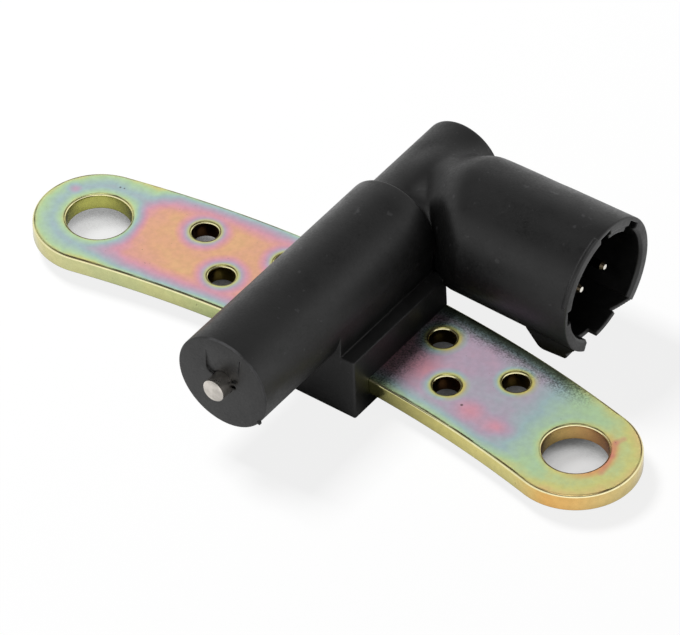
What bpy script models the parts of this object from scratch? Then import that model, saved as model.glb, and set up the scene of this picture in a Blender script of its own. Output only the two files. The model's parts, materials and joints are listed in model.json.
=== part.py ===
"""Crankshaft position sensor on an arc-shaped mounting plate.

A black moulded housing holds the coil, the magnet and the two contact pins. It is
moulded round the middle of a plated steel plate that bolts down by an ear at each end.

Frame: metres, +Z up. X runs along the plate, Y from the sensing tip (negative) to the
connector (positive). The origin lies on the housing's foot, under the middle of the
arc on which the two bolt holes lie.
"""

import math

import bmesh
import bpy
from mathutils import Matrix, Vector

# Clearance between pieces that touch on the real sensor
FIT_GAP = 0.0003

# Mounting plate, a stamped band between two concentric arcs
PLATE_THICKNESS = 0.0030
PLATE_WIDTH = 0.0212
PLATE_ARC_RADIUS = 0.2063
PLATE_BAND_SHIFT = 0.0001
PLATE_EDGE_ROUND = 0.0003
EAR_HOLE_SPACING = 0.0923
EAR_HOLE_DIAMETER = 0.0105
SMALL_HOLE_DIAMETER = 0.0043
SMALL_HOLE_FIRST_ARC = 0.0148
SMALL_HOLE_ARC_PITCH = 0.00745
SMALL_HOLE_ROW_OFFSET = 0.0039
SMALL_HOLES_PER_SIDE = 3
KEY_HOLE_DIAMETER = 0.0060

# Block of the housing that grips the plate, wider at its foot
BLOCK_WIDTH = 0.0226
BLOCK_FRONT = 0.0148
BLOCK_REAR = 0.0102
BLOCK_BELOW_PLATE = 0.0024
BLOCK_ABOVE_PLATE = 0.0056
BLOCK_DRAFT = 0.0004
BLOCK_CORNER_ROUND = 0.0003

# Barrel with the sensing tip, and the slimmer neck behind it
AXIS_ABOVE_PLATE = 0.0104
BARREL_DIAMETER = 0.0167
BARREL_TIP = 0.0335
BARREL_REAR = 0.0104
BARREL_EDGE_ROUND = 0.0002
CHEEK_REAR = 0.0099
TIP_WALL = 0.0018
NECK_DIAMETER = 0.0142
NECK_END_WALL = 0.0032
NECK_EDGE_ROUND = 0.0003
SHOULDER_LENGTH = 0.0050
NECK_WEB_WIDTH = 0.0138
NECK_WEB_DROP = 0.0090

# Shallow mould mark above the pole piece on the tip face
TIP_MARK_WIDTH = 0.0060
TIP_MARK_HEIGHT = 0.0046
TIP_MARK_RISE = 0.0009
TIP_MARK_DEPTH = 0.00025
TIP_MARK_CORNER = 0.0011

# Round connector shroud across the neck
SHROUD_AXIS_Y = 0.0188
SHROUD_DIAMETER = 0.0228
SHROUD_ROOT_DIAMETER = 0.0223
SHROUD_ROOT_X = 0.0080
SHROUD_FRONT_SETBACK = 0.0036
SHROUD_END_X = 0.03525
SOCKET_DIAMETER = 0.0189
SOCKET_DEPTH = 0.0145
SOCKET_MOUTH_CHAMFER = 0.0004

# Keyways in the socket wall: place round the rim in degrees, 0 towards +Y, 90 up
KEYWAY_ANGLES = (46.0, 92.5, 177.0)
KEYWAY_WIDTH = 0.0027
KEYWAY_RADIAL_DEPTH = 0.0012
KEYWAY_LENGTH = 0.0050

# Guide pad inside the socket, between two keyways
PAD_ANGLES = (58.0, 81.0)
PAD_HEIGHT = 0.0006
PAD_SETBACK = 0.0003

# Cut-outs in the lower rim: from angle, to angle, depth at each
RIM_SLOT = (-127.0, -92.0, 0.0036, 0.0036)
RIM_STEP = (-92.5, -65.5, 0.0015, 0.0015)
RIM_SLOPE = (-66.0, -50.0, 0.0023, 0.0003)

# Raised bead on the outside of the rim
BEAD_ANGLES = (103.0, 166.0)
BEAD_HEIGHT = 0.0004
BEAD_LENGTH = 0.0010

# Square-sided latch boss under the near side of the shroud
LATCH_SIDE_OFFSET = 0.0086
LATCH_BOTTOM_DROP = 0.0104
LATCH_START_SETBACK = 0.0092
LATCH_RAMP_LENGTH = 0.0026
LATCH_RAMP_ROUND = 0.0008
LATCH_END_SETBACK = 0.0015

# Pole piece, magnet and coil inside the barrel
POLE_DIAMETER = 0.0038
POLE_PROTRUSION = 0.0025
POLE_HEAD_DIAMETER = 0.0070
POLE_HEAD_THICKNESS = 0.0015
MAGNET_LENGTH = 0.0080
BOBBIN_CORE_WALL = 0.0008
BOBBIN_FLANGE_THICKNESS = 0.0012
BOBBIN_LENGTH = 0.0190
COIL_DEPTH = 0.0026
BOBBIN_SLEEVE_WALL = 0.0008
COIL_TURNS_SHOWN = 22
COIL_TURN_RELIEF = 0.00012
TAPE_THICKNESS = 0.00025
LEAD_WIRE_DIAMETER = 0.0005
WIRING_SPACE = 0.0035

# Contact pins and the carrier that holds them
PIN_DIAMETER = 0.0015
PIN_SPACING = 0.0064
PIN_RECESS = 0.0025
PIN_TIP_CHAMFER = 0.0003
PIN_BEND_RADIUS = 0.0015
PIN_OVERHANG = 0.0010
PIN_SEAL_LENGTH = 0.0030
PIN_COVER_IN_NECK = 0.00155
PIN_COVER_IN_ARM = 0.00125

# Facets round a full circle
SMOOTH_SEGMENTS = 72
MEDIUM_SEGMENTS = 40
SMALL_SEGMENTS = 24

# Heights and places worked out from the dimensions above
PLATE_BOTTOM_Z = BLOCK_BELOW_PLATE
PLATE_TOP_Z = PLATE_BOTTOM_Z + PLATE_THICKNESS
AXIS_Z = PLATE_TOP_Z + AXIS_ABOVE_PLATE
BLOCK_TOP_Z = PLATE_TOP_Z + BLOCK_ABOVE_PLATE
BARREL_RADIUS = BARREL_DIAMETER / 2
NECK_RADIUS = NECK_DIAMETER / 2
SHROUD_RADIUS = SHROUD_DIAMETER / 2
SHROUD_ROOT_RADIUS = SHROUD_ROOT_DIAMETER / 2
SOCKET_RADIUS = SOCKET_DIAMETER / 2
SOCKET_FLOOR_X = SHROUD_END_X - SOCKET_DEPTH
NECK_END_Y = SHROUD_AXIS_Y + SHROUD_RADIUS
CORE_BORE_FRONT_Y = -BARREL_TIP + TIP_WALL
NECK_BORE_END_Y = NECK_END_Y - NECK_END_WALL
POLE_RADIUS = POLE_DIAMETER / 2
COIL_INNER_RADIUS = POLE_RADIUS + FIT_GAP + BOBBIN_CORE_WALL + FIT_GAP
COIL_OUTER_RADIUS = COIL_INNER_RADIUS + COIL_DEPTH
BOBBIN_FLANGE_RADIUS = COIL_OUTER_RADIUS + FIT_GAP + TAPE_THICKNESS
CORE_BORE_RADIUS = BOBBIN_FLANGE_RADIUS + FIT_GAP
PIN_RADIUS = PIN_DIAMETER / 2
NECK_BORE_RADIUS = PIN_SPACING / 2 + PIN_RADIUS + PIN_COVER_IN_NECK
SIDE_BORE_RADIUS = PIN_SPACING / 2 + PIN_RADIUS + PIN_COVER_IN_ARM
BOBBIN_FRONT_Y = CORE_BORE_FRONT_Y + FIT_GAP
BOBBIN_REAR_Y = BOBBIN_FRONT_Y + BOBBIN_LENGTH
POLE_HEAD_FRONT_Y = BOBBIN_REAR_Y + FIT_GAP
POLE_HEAD_REAR_Y = POLE_HEAD_FRONT_Y + POLE_HEAD_THICKNESS
MAGNET_FRONT_Y = POLE_HEAD_REAR_Y + FIT_GAP
MAGNET_REAR_Y = MAGNET_FRONT_Y + MAGNET_LENGTH
SLEEVE_INNER_RADIUS = POLE_HEAD_DIAMETER / 2 + FIT_GAP
SLEEVE_OUTER_RADIUS = SLEEVE_INNER_RADIUS + BOBBIN_SLEEVE_WALL
CORE_BORE_REAR = MAGNET_REAR_Y + WIRING_SPACE
CARRIER_RADIUS = NECK_BORE_RADIUS - FIT_GAP
CARRIER_FRONT_Y = CORE_BORE_REAR + FIT_GAP
CARRIER_ARM_RADIUS = SIDE_BORE_RADIUS - FIT_GAP
PIN_FRONT_Y = CARRIER_FRONT_Y - PIN_OVERHANG

ALONG_Y = Matrix.Rotation(math.radians(-90), 4, "X")
ALONG_X = Matrix.Rotation(math.radians(90), 4, "Y")
OVERRUN = 0.002


def clear_scene():
    for item in list(bpy.data.objects):
        bpy.data.objects.remove(item, do_unlink=True)


def make_material(name, colour, roughness, metallic):
    material = bpy.data.materials.new(name)
    material.use_nodes = True
    shader = material.node_tree.nodes["Principled BSDF"]
    shader.inputs["Base Color"].default_value = (*colour, 1.0)
    shader.inputs["Roughness"].default_value = roughness
    shader.inputs["Metallic"].default_value = metallic
    material.diffuse_color = (*colour, 1.0)
    return material


def add_object(name, shape, material=None, smooth_angle=35.0):
    """Turn a bmesh into a named object whose faces point outwards."""
    bmesh.ops.remove_doubles(shape, verts=shape.verts, dist=1e-7)
    bmesh.ops.recalc_face_normals(shape, faces=shape.faces)
    mesh = bpy.data.meshes.new(name)
    shape.to_mesh(mesh)
    shape.free()
    mesh.shade_smooth()
    mesh.set_sharp_from_angle(angle=math.radians(smooth_angle))
    if material is not None:
        mesh.materials.append(material)
    item = bpy.data.objects.new(name, mesh)
    bpy.context.collection.objects.link(item)
    return item


def hide_helper(item):
    item.hide_render = True
    item.display_type = "WIRE"


def combine(target, other, operation):
    """Add a Boolean of a helper object to the target."""
    hide_helper(other)
    step = target.modifiers.new(operation.title() + " " + other.name, "BOOLEAN")
    step.object = other
    step.operation = operation
    step.solver = "EXACT"


def join(target, *others):
    for other in others:
        combine(target, other, "UNION")


def cut(target, *others):
    for other in others:
        combine(target, other, "DIFFERENCE")


def arc_points(centre, radius, start, end, count):
    """Points of an arc in a plane, angles in degrees, both ends included."""
    points = []
    for step in range(count + 1):
        angle = math.radians(start + (end - start) * step / count)
        points.append((centre[0] + radius * math.cos(angle), centre[1] + radius * math.sin(angle)))
    return points


def gather(shapes):
    """Put several closed shapes that lie apart into one."""
    together = bmesh.new()
    for shape in shapes:
        mesh = bpy.data.meshes.new("gathered")
        shape.to_mesh(mesh)
        shape.free()
        together.from_mesh(mesh)
        bpy.data.meshes.remove(mesh)
    return together


def close_ends(shape):
    rims = [edge for edge in shape.edges if edge.is_boundary]
    bmesh.ops.holes_fill(shape, edges=rims, sides=0)


def closed_loop(shape, points):
    """Edges of a closed outline through the points."""
    corners = [shape.verts.new(point) for point in points]
    return [shape.edges.new((corners[i - 1], corners[i])) for i in range(len(corners))]


def loft(rings):
    """Closed body bridged through rings of equal length, with a cap at each end."""
    shape = bmesh.new()
    loops = [closed_loop(shape, ring) for ring in rings]
    for loop, after in zip(loops, loops[1:]):
        bmesh.ops.bridge_loops(shape, edges=loop + after)
    close_ends(shape)
    return shape


def spin_full_turn(shape, segments, placement):
    """Spin what the shape holds once round Z, then put it in its place."""
    geometry = shape.verts[:] + shape.edges[:]
    bmesh.ops.spin(
        shape, geom=geometry, cent=(0, 0, 0), axis=(0, 0, 1), angle=2 * math.pi, steps=segments, use_merge=True
    )
    bmesh.ops.remove_doubles(shape, verts=shape.verts, dist=1e-7)
    bmesh.ops.transform(shape, matrix=placement, verts=shape.verts)


def turned(profile, segments, placement):
    """Solid of revolution. The profile lists (axial place, radius) from end to end."""
    shape = bmesh.new()
    corners = [shape.verts.new((radius, 0, axial)) for axial, radius in profile]
    for corner, after in zip(corners, corners[1:]):
        shape.edges.new((corner, after))
    spin_full_turn(shape, segments, placement)
    close_ends(shape)
    return shape


def turned_ring(profile, segments, placement):
    """Ring of revolution from a closed profile of (axial place, radius)."""
    shape = bmesh.new()
    closed_loop(shape, [(radius, 0, axial) for axial, radius in profile])
    spin_full_turn(shape, segments, placement)
    return shape


def extruded(outline, low, high, placement):
    """Prism of a plane outline between two levels of its third axis."""
    shape = bmesh.new()
    base = shape.faces.new([shape.verts.new((u, v, low)) for u, v in outline])
    made = bmesh.ops.extrude_face_region(shape, geom=[base], use_keep_orig=True)
    raised = [item for item in made["geom"] if isinstance(item, bmesh.types.BMVert)]
    bmesh.ops.translate(shape, vec=(0, 0, high - low), verts=raised)
    bmesh.ops.transform(shape, matrix=placement, verts=shape.verts)
    return shape


def box(low, high):
    outline = [(low[0], low[1]), (high[0], low[1]), (high[0], high[1]), (low[0], high[1])]
    return extruded(outline, low[2], high[2], Matrix.Identity(4))


def swept_rod(path, radii, segments):
    """Round rod along a path that lies in a level plane, one radius for each point."""
    rings = []
    for index, point in enumerate(path):
        before = path[max(index - 1, 0)]
        after = path[min(index + 1, len(path) - 1)]
        along = (Vector(after) - Vector(before)).normalized()
        side = Vector((-along.y, along.x, 0.0))
        ring = []
        for step in range(segments):
            angle = 2 * math.pi * step / segments
            offset = side * math.cos(angle) + Vector((0, 0, 1)) * math.sin(angle)
            ring.append(Vector(point) + offset * radii[index])
        rings.append(ring)
    return loft(rings)


def on_barrel_axis():
    return Matrix.Translation((0, 0, AXIS_Z)) @ ALONG_Y


def on_shroud_axis():
    return Matrix.Translation((0, SHROUD_AXIS_Y, AXIS_Z)) @ ALONG_X


def rim_point(angle, radius, x):
    """Point round the shroud's axis, angle in degrees from +Y towards +Z."""
    turn = math.radians(angle)
    return Vector((x, SHROUD_AXIS_Y + radius * math.cos(turn), AXIS_Z + radius * math.sin(turn)))


# Mounting plate


def plate_point(angle, radius):
    """Point at an angle from the plate's middle, in radians, about the arc's centre."""
    return (radius * math.sin(angle), radius * math.cos(angle) - PLATE_ARC_RADIUS)


def ear_half_angle():
    return math.asin(EAR_HOLE_SPACING / 2 / PLATE_ARC_RADIUS)


def plate_outline():
    half_angle = ear_half_angle()
    middle = PLATE_ARC_RADIUS - PLATE_BAND_SHIFT
    outer = middle + PLATE_WIDTH / 2
    inner = middle - PLATE_WIDTH / 2
    lean = math.degrees(half_angle)
    steps = 30
    outline = []
    for step in range(steps + 1):
        angle = -half_angle + 2 * half_angle * step / steps
        outline.append(plate_point(angle, outer))
    right = plate_point(half_angle, middle)
    outline += arc_points(right, PLATE_WIDTH / 2, 90 - lean, -90 - lean, 18)[1:-1]
    for step in range(steps + 1):
        angle = half_angle - 2 * half_angle * step / steps
        outline.append(plate_point(angle, inner))
    left = plate_point(-half_angle, middle)
    outline += arc_points(left, PLATE_WIDTH / 2, 270 + lean, 90 + lean, 18)[1:-1]
    return outline


def vertical_pin(centre, diameter, low, high, segments):
    placement = Matrix.Translation((centre[0], centre[1], 0))
    radius = diameter / 2
    return turned([(low, radius), (high, radius)], segments, placement)


def small_hole_places():
    """Holes on each side alternate between the outer and the inner row."""
    places = []
    for side in (-1, 1):
        for index in range(SMALL_HOLES_PER_SIDE):
            arc = SMALL_HOLE_FIRST_ARC + index * SMALL_HOLE_ARC_PITCH
            row = SMALL_HOLE_ROW_OFFSET if index % 2 == 0 else -SMALL_HOLE_ROW_OFFSET
            places.append(plate_point(side * arc / PLATE_ARC_RADIUS, PLATE_ARC_RADIUS + row))
    return places


def build_mounting_plate(material):
    shape = extruded(plate_outline(), PLATE_BOTTOM_Z, PLATE_TOP_Z, Matrix.Identity(4))
    plate = add_object("mounting_plate", shape, material)
    low, high = PLATE_BOTTOM_Z - OVERRUN, PLATE_TOP_Z + OVERRUN
    holes = [vertical_pin((0, 0), KEY_HOLE_DIAMETER, low, high, SMALL_SEGMENTS)]
    for side in (-1, 1):
        centre = plate_point(side * ear_half_angle(), PLATE_ARC_RADIUS)
        holes.append(vertical_pin(centre, EAR_HOLE_DIAMETER, low, high, MEDIUM_SEGMENTS))
    for centre in small_hole_places():
        holes.append(vertical_pin(centre, SMALL_HOLE_DIAMETER, low, high, SMALL_SEGMENTS))
    cut(plate, add_object("cut_plate_holes", gather(holes)))
    edge = plate.modifiers.new("Stamped edge", "BEVEL")
    edge.width = PLATE_EDGE_ROUND
    edge.segments = 2
    edge.limit_method = "ANGLE"
    edge.angle_limit = math.radians(60)
    return plate


# Housing


def drafted_block():
    """Block round the plate: wider at the foot, with rounded upright corners."""
    rings = []
    for z, inset in ((0.0, 0.0), (BLOCK_TOP_Z, BLOCK_DRAFT)):
        half = BLOCK_WIDTH / 2 - inset
        front = -BLOCK_FRONT + inset
        rear = BLOCK_REAR
        round_ = BLOCK_CORNER_ROUND
        ring = []
        for cx, cy, start in (
            (half - round_, front + round_, -90),
            (half - round_, rear - round_, 0),
            (-half + round_, rear - round_, 90),
            (-half + round_, front + round_, 180),
        ):
            ring += [(x, y, z) for x, y in arc_points((cx, cy), round_, start, start + 90, 4)]
        rings.append(ring)
    return loft(rings)


def barrel_profile():
    """Barrel, the long soft shoulder behind it, and the neck to its rounded end."""
    tip, edge, end, round_ = -BARREL_TIP, BARREL_EDGE_ROUND, NECK_END_Y, NECK_EDGE_ROUND
    profile = arc_points((tip + edge, BARREL_RADIUS - edge), edge, 180, 90, 3)
    steps = 8
    for step in range(steps + 1):
        share = step / steps
        eased = share * share * (3 - 2 * share)
        radius = BARREL_RADIUS + (NECK_RADIUS - BARREL_RADIUS) * eased
        profile.append((BARREL_REAR + SHOULDER_LENGTH * share, radius))
    profile += arc_points((end - round_, NECK_RADIUS - round_), round_, 90, 0, 3)
    return profile


def shroud_root_x(angle):
    """Where the shroud's full section begins: further out on its near side."""
    nearness = max(0.0, -math.cos(angle))
    return SHROUD_ROOT_X + SHROUD_FRONT_SETBACK * nearness ** 1.5


def shroud():
    """Round shroud whose inner end curves in to the neck."""
    root, lip = SHROUD_ROOT_RADIUS, SOCKET_MOUTH_CHAMFER / 2
    steps = [2 * math.pi * step / SMOOTH_SEGMENTS for step in range(SMOOTH_SEGMENTS)]
    rounding = ((0.55, 0.0040), (0.72, 0.0024), (0.87, 0.0013), (0.95, 0.0006), (0.985, 0.0002), (1.0, 0.0))
    rings = [[rim_point(math.degrees(angle), 0.4 * root, NECK_RADIUS * 0.4) for angle in steps]]
    for share, setback in rounding:
        rings.append([
            rim_point(math.degrees(angle), share * root, shroud_root_x(angle) - setback) for angle in steps
        ])
    rings.append([rim_point(math.degrees(angle), SHROUD_RADIUS, SHROUD_END_X - lip) for angle in steps])
    rings.append([rim_point(math.degrees(angle), SHROUD_RADIUS - lip, SHROUD_END_X) for angle in steps])
    return loft(rings)


def rim_sector(name, first, last, depth_first, depth_last, inner, outer):
    """Piece of a ring at the rim, cut back from the shroud's end by a varying depth."""
    steps = max(2, round(abs(last - first) / 5))
    rings = []
    for step in range(steps + 1):
        share = step / steps
        angle = first + (last - first) * share
        back = SHROUD_END_X - (depth_first + (depth_last - depth_first) * share)
        ahead = SHROUD_END_X + OVERRUN
        rings.append([
            rim_point(angle, inner, back),
            rim_point(angle, outer, back),
            rim_point(angle, outer, ahead),
            rim_point(angle, inner, ahead),
        ])
    return add_object(name, loft(rings))


def keyway(angle):
    """Axial groove in the socket's wall, open at the rim."""
    half = KEYWAY_WIDTH / 2
    inner = SOCKET_RADIUS - OVERRUN
    outer = SOCKET_RADIUS + KEYWAY_RADIAL_DEPTH
    outline = [(inner, -half), (outer, -half), (outer, half), (inner, half)]
    turn = Matrix.Rotation(math.radians(angle), 4, "X")
    frame = Matrix(((0, 0, 1, 0), (1, 0, 0, 0), (0, 1, 0, 0), (0, 0, 0, 1)))
    placement = Matrix.Translation((0, SHROUD_AXIS_Y, AXIS_Z)) @ turn @ frame
    return extruded(outline, SHROUD_END_X - KEYWAY_LENGTH, SHROUD_END_X + OVERRUN, placement)


def bead():
    """Low raised band outside the rim."""
    first, last = BEAD_ANGLES
    steps = 12
    rings = []
    for step in range(steps + 1):
        angle = first + (last - first) * step / steps
        outer = SHROUD_RADIUS + BEAD_HEIGHT
        rings.append([
            rim_point(angle, SHROUD_RADIUS - BEAD_HEIGHT, SHROUD_END_X - BEAD_LENGTH - BEAD_HEIGHT),
            rim_point(angle, outer, SHROUD_END_X - BEAD_LENGTH),
            rim_point(angle, outer, SHROUD_END_X - BEAD_HEIGHT),
            rim_point(angle, SHROUD_RADIUS - BEAD_HEIGHT / 2, SHROUD_END_X - 0.00005),
            rim_point(angle, SHROUD_RADIUS - BEAD_HEIGHT, SHROUD_END_X - 0.00005),
        ])
    return add_object("add_bead", loft(rings))


def guide_pad():
    """Low pad along the socket's wall, a little short of the rim."""
    first, last = PAD_ANGLES
    inner, outer = SOCKET_RADIUS - PAD_HEIGHT, SOCKET_RADIUS + PAD_HEIGHT
    steps = 6
    rings = []
    for step in range(steps + 1):
        angle = first + (last - first) * step / steps
        rings.append([
            rim_point(angle, inner, SOCKET_FLOOR_X - PAD_HEIGHT),
            rim_point(angle, outer, SOCKET_FLOOR_X - PAD_HEIGHT),
            rim_point(angle, outer, SHROUD_END_X - PAD_SETBACK - SOCKET_MOUTH_CHAMFER),
            rim_point(angle, inner, SHROUD_END_X - PAD_SETBACK - SOCKET_MOUTH_CHAMFER),
        ])
    return add_object("add_guide_pad", loft(rings))


def latch_boss():
    """Boss with a flat side and a ramp, seen from the side as an outline in X and Z."""
    bottom = AXIS_Z - LATCH_BOTTOM_DROP
    start = SHROUD_END_X - LATCH_START_SETBACK
    end = SHROUD_END_X - LATCH_END_SETBACK
    crease = AXIS_Z - math.sqrt(SHROUD_RADIUS ** 2 - LATCH_SIDE_OFFSET ** 2)
    ramp_foot = (start + LATCH_RAMP_LENGTH, bottom, 0.0)
    down_ramp = (Vector(ramp_foot) - Vector((start, crease, 0.0))).normalized()
    outline = [(start, crease + 0.0010), (start, crease)]
    outline += [(p.x, p.y) for p in bend_points(ramp_foot, down_ramp, (1, 0, 0), LATCH_RAMP_ROUND, 4)]
    outline += [
        (end - 0.0003, bottom + 0.0003),
        (end, bottom + 0.0006),
        (end - 0.0001, bottom + 0.0013),
        (SHROUD_END_X - 0.0001, crease - 0.0002),
        (SHROUD_END_X - 0.0001, crease + 0.0010),
    ]
    side = SHROUD_AXIS_Y - LATCH_SIDE_OFFSET
    standing = Matrix(((1, 0, 0, 0), (0, 0, 1, 0), (0, 1, 0, 0), (0, 0, 0, 1)))
    return add_object("add_latch", extruded(outline, side, SHROUD_AXIS_Y, standing))


def tip_mark():
    """Wedge that leaves a rounded mark on the tip face, fading out upwards."""
    half, round_ = TIP_MARK_WIDTH / 2, TIP_MARK_CORNER
    low = AXIS_Z + TIP_MARK_RISE
    high = low + TIP_MARK_HEIGHT
    outline = [(-half, high)]
    outline += arc_points((-half + round_, low + round_), round_, 180, 270, 5)
    outline += arc_points((half - round_, low + round_), round_, 270, 360, 5)
    outline.append((half, high))
    face_y = -BARREL_TIP
    outside = [(x, face_y - OVERRUN, z) for x, z in outline]
    inside = []
    for x, z in outline:
        fade = (high - z) / TIP_MARK_HEIGHT
        inside.append((x, face_y + TIP_MARK_DEPTH * fade, z))
    return add_object("cut_tip_mark", loft([outside, inside]))


def plate_slot():
    """Slot for the plate, open to both sides and to the rear, less the key through it."""
    low = PLATE_BOTTOM_Z - FIT_GAP
    high = PLATE_TOP_Z + FIT_GAP
    reach = BLOCK_WIDTH / 2 + OVERRUN
    inner = PLATE_ARC_RADIUS - PLATE_BAND_SHIFT - PLATE_WIDTH / 2 - FIT_GAP
    outline = []
    steps = 8
    for step in range(steps + 1):
        x = -reach + 2 * reach * step / steps
        outline.append(plate_point(math.asin(x / inner), inner))
    outline += [(reach, BLOCK_REAR + OVERRUN), (-reach, BLOCK_REAR + OVERRUN)]
    slot = add_object("cut_plate_slot", extruded(outline, low, high, Matrix.Identity(4)))
    key_diameter = KEY_HOLE_DIAMETER - 2 * FIT_GAP
    key = vertical_pin((0, 0), key_diameter, low - OVERRUN, high + OVERRUN, SMALL_SEGMENTS)
    cut(slot, add_object("keep_key", key))
    return slot


def build_housing(material):
    housing = add_object("sensor_housing", turned(barrel_profile(), SMOOTH_SEGMENTS, on_barrel_axis()), material)
    cheeks = box(
        (-BARREL_RADIUS, -BLOCK_FRONT + BLOCK_DRAFT, BLOCK_TOP_Z - OVERRUN / 2),
        (BARREL_RADIUS, CHEEK_REAR, AXIS_Z),
    )
    web = box(
        (-NECK_WEB_WIDTH / 2, CHEEK_REAR - OVERRUN, AXIS_Z - NECK_WEB_DROP),
        (NECK_WEB_WIDTH / 2, SHROUD_AXIS_Y, AXIS_Z - NECK_WEB_DROP / 4),
    )
    join(
        housing,
        add_object("add_cheeks", cheeks),
        add_object("add_web", web),
        add_object("add_block", drafted_block()),
        add_object("add_shroud", shroud()),
        latch_boss(),
        bead(),
    )
    lip = SOCKET_MOUTH_CHAMFER
    socket = [
        (SOCKET_FLOOR_X, SOCKET_RADIUS),
        (SHROUD_END_X - lip, SOCKET_RADIUS),
        (SHROUD_END_X + OVERRUN, SOCKET_RADIUS + lip + OVERRUN),
    ]
    core_bore = [(CORE_BORE_FRONT_Y, CORE_BORE_RADIUS), (CORE_BORE_REAR, CORE_BORE_RADIUS)]
    neck_bore = [(CORE_BORE_REAR - OVERRUN, NECK_BORE_RADIUS), (NECK_BORE_END_Y, NECK_BORE_RADIUS)]
    side_bore = [(0.0, SIDE_BORE_RADIUS), (SOCKET_FLOOR_X + OVERRUN, SIDE_BORE_RADIUS)]
    pole_bore = [
        (-BARREL_TIP - OVERRUN, POLE_RADIUS + FIT_GAP),
        (CORE_BORE_FRONT_Y + OVERRUN, POLE_RADIUS + FIT_GAP),
    ]
    cut(
        housing,
        add_object("cut_socket", turned(socket, SMOOTH_SEGMENTS, on_shroud_axis())),
        add_object("cut_core_bore", turned(core_bore, MEDIUM_SEGMENTS, on_barrel_axis())),
        add_object("cut_neck_bore", turned(neck_bore, MEDIUM_SEGMENTS, on_barrel_axis())),
        add_object("cut_side_bore", turned(side_bore, MEDIUM_SEGMENTS, on_shroud_axis())),
        add_object("cut_pole_bore", turned(pole_bore, SMALL_SEGMENTS, on_barrel_axis())),
        plate_slot(),
        tip_mark(),
    )
    join(housing, guide_pad())
    cut(housing, add_object("cut_keyways", gather([keyway(angle) for angle in KEYWAY_ANGLES])))
    inner, outer = SOCKET_RADIUS - OVERRUN, SHROUD_RADIUS + 2 * OVERRUN
    for name, sizes in (("cut_rim_slot", RIM_SLOT), ("cut_rim_step", RIM_STEP), ("cut_rim_slope", RIM_SLOPE)):
        cut(housing, rim_sector(name, *sizes, inner, outer))
    return housing


# Pieces inside the barrel


def build_pole_piece(material):
    tip = -BARREL_TIP - POLE_PROTRUSION
    chamfer = 0.0002
    profile = [
        (tip, POLE_RADIUS - chamfer),
        (tip + chamfer, POLE_RADIUS),
        (POLE_HEAD_FRONT_Y, POLE_RADIUS),
        (POLE_HEAD_FRONT_Y, POLE_HEAD_DIAMETER / 2),
        (POLE_HEAD_REAR_Y, POLE_HEAD_DIAMETER / 2),
    ]
    return add_object("pole_piece", turned(profile, MEDIUM_SEGMENTS, on_barrel_axis()), material)


def build_magnet(material):
    radius = POLE_HEAD_DIAMETER / 2
    profile = [(MAGNET_FRONT_Y, radius), (MAGNET_REAR_Y, radius)]
    return add_object("magnet", turned(profile, MEDIUM_SEGMENTS, on_barrel_axis()), material)


def build_bobbin(material):
    """Coil former with two flanges, and behind them the sleeve that holds the magnet."""
    bore = POLE_RADIUS + FIT_GAP
    core = bore + BOBBIN_CORE_WALL
    flange = BOBBIN_FLANGE_RADIUS
    profile = [
        (BOBBIN_FRONT_Y, bore),
        (BOBBIN_FRONT_Y, flange),
        (BOBBIN_FRONT_Y + BOBBIN_FLANGE_THICKNESS, flange),
        (BOBBIN_FRONT_Y + BOBBIN_FLANGE_THICKNESS, core),
        (BOBBIN_REAR_Y - BOBBIN_FLANGE_THICKNESS, core),
        (BOBBIN_REAR_Y - BOBBIN_FLANGE_THICKNESS, SLEEVE_OUTER_RADIUS),
        (MAGNET_REAR_Y, SLEEVE_OUTER_RADIUS),
        (MAGNET_REAR_Y, SLEEVE_INNER_RADIUS),
        (BOBBIN_REAR_Y, SLEEVE_INNER_RADIUS),
        (BOBBIN_REAR_Y, bore),
    ]
    shape = turned_ring(profile, MEDIUM_SEGMENTS, on_barrel_axis())
    return add_object("coil_bobbin", shape, material)


def winding_limits():
    front = BOBBIN_FRONT_Y + BOBBIN_FLANGE_THICKNESS + FIT_GAP
    rear = BOBBIN_REAR_Y - BOBBIN_FLANGE_THICKNESS - FIT_GAP
    return front, rear, COIL_INNER_RADIUS, COIL_OUTER_RADIUS


def build_winding(material):
    """Coil of enamelled wire: its outer layer shows as a row of shallow turns."""
    front, rear, inner, outer = winding_limits()
    pitch = (rear - front) / COIL_TURNS_SHOWN
    profile = [(rear, inner), (front, inner), (front, outer - COIL_TURN_RELIEF)]
    for turn in range(COIL_TURNS_SHOWN):
        profile.append((front + (turn + 0.5) * pitch, outer))
        profile.append((front + (turn + 1) * pitch, outer - COIL_TURN_RELIEF))
    shape = turned_ring(profile, SMALL_SEGMENTS, on_barrel_axis())
    return add_object("coil_winding", shape, material)


def build_tape(material):
    front, rear, _, outer = winding_limits()
    low, high = outer + FIT_GAP, outer + FIT_GAP + TAPE_THICKNESS
    profile = [(front, low), (front, high), (rear, high), (rear, low)]
    shape = turned_ring(profile, MEDIUM_SEGMENTS, on_barrel_axis())
    return add_object("coil_tape", shape, material)


def bend_points(corner, entering, leaving, radius, count):
    """Points round a right-angled or slanted corner of a path."""
    corner, entering, leaving = Vector(corner), Vector(entering), Vector(leaving)
    start = corner - entering * radius
    end = corner + leaving * radius
    points = []
    for step in range(count + 1):
        share = step / count
        points.append(start * (1 - share) ** 2 + corner * 2 * share * (1 - share) + end * share ** 2)
    return points


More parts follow.
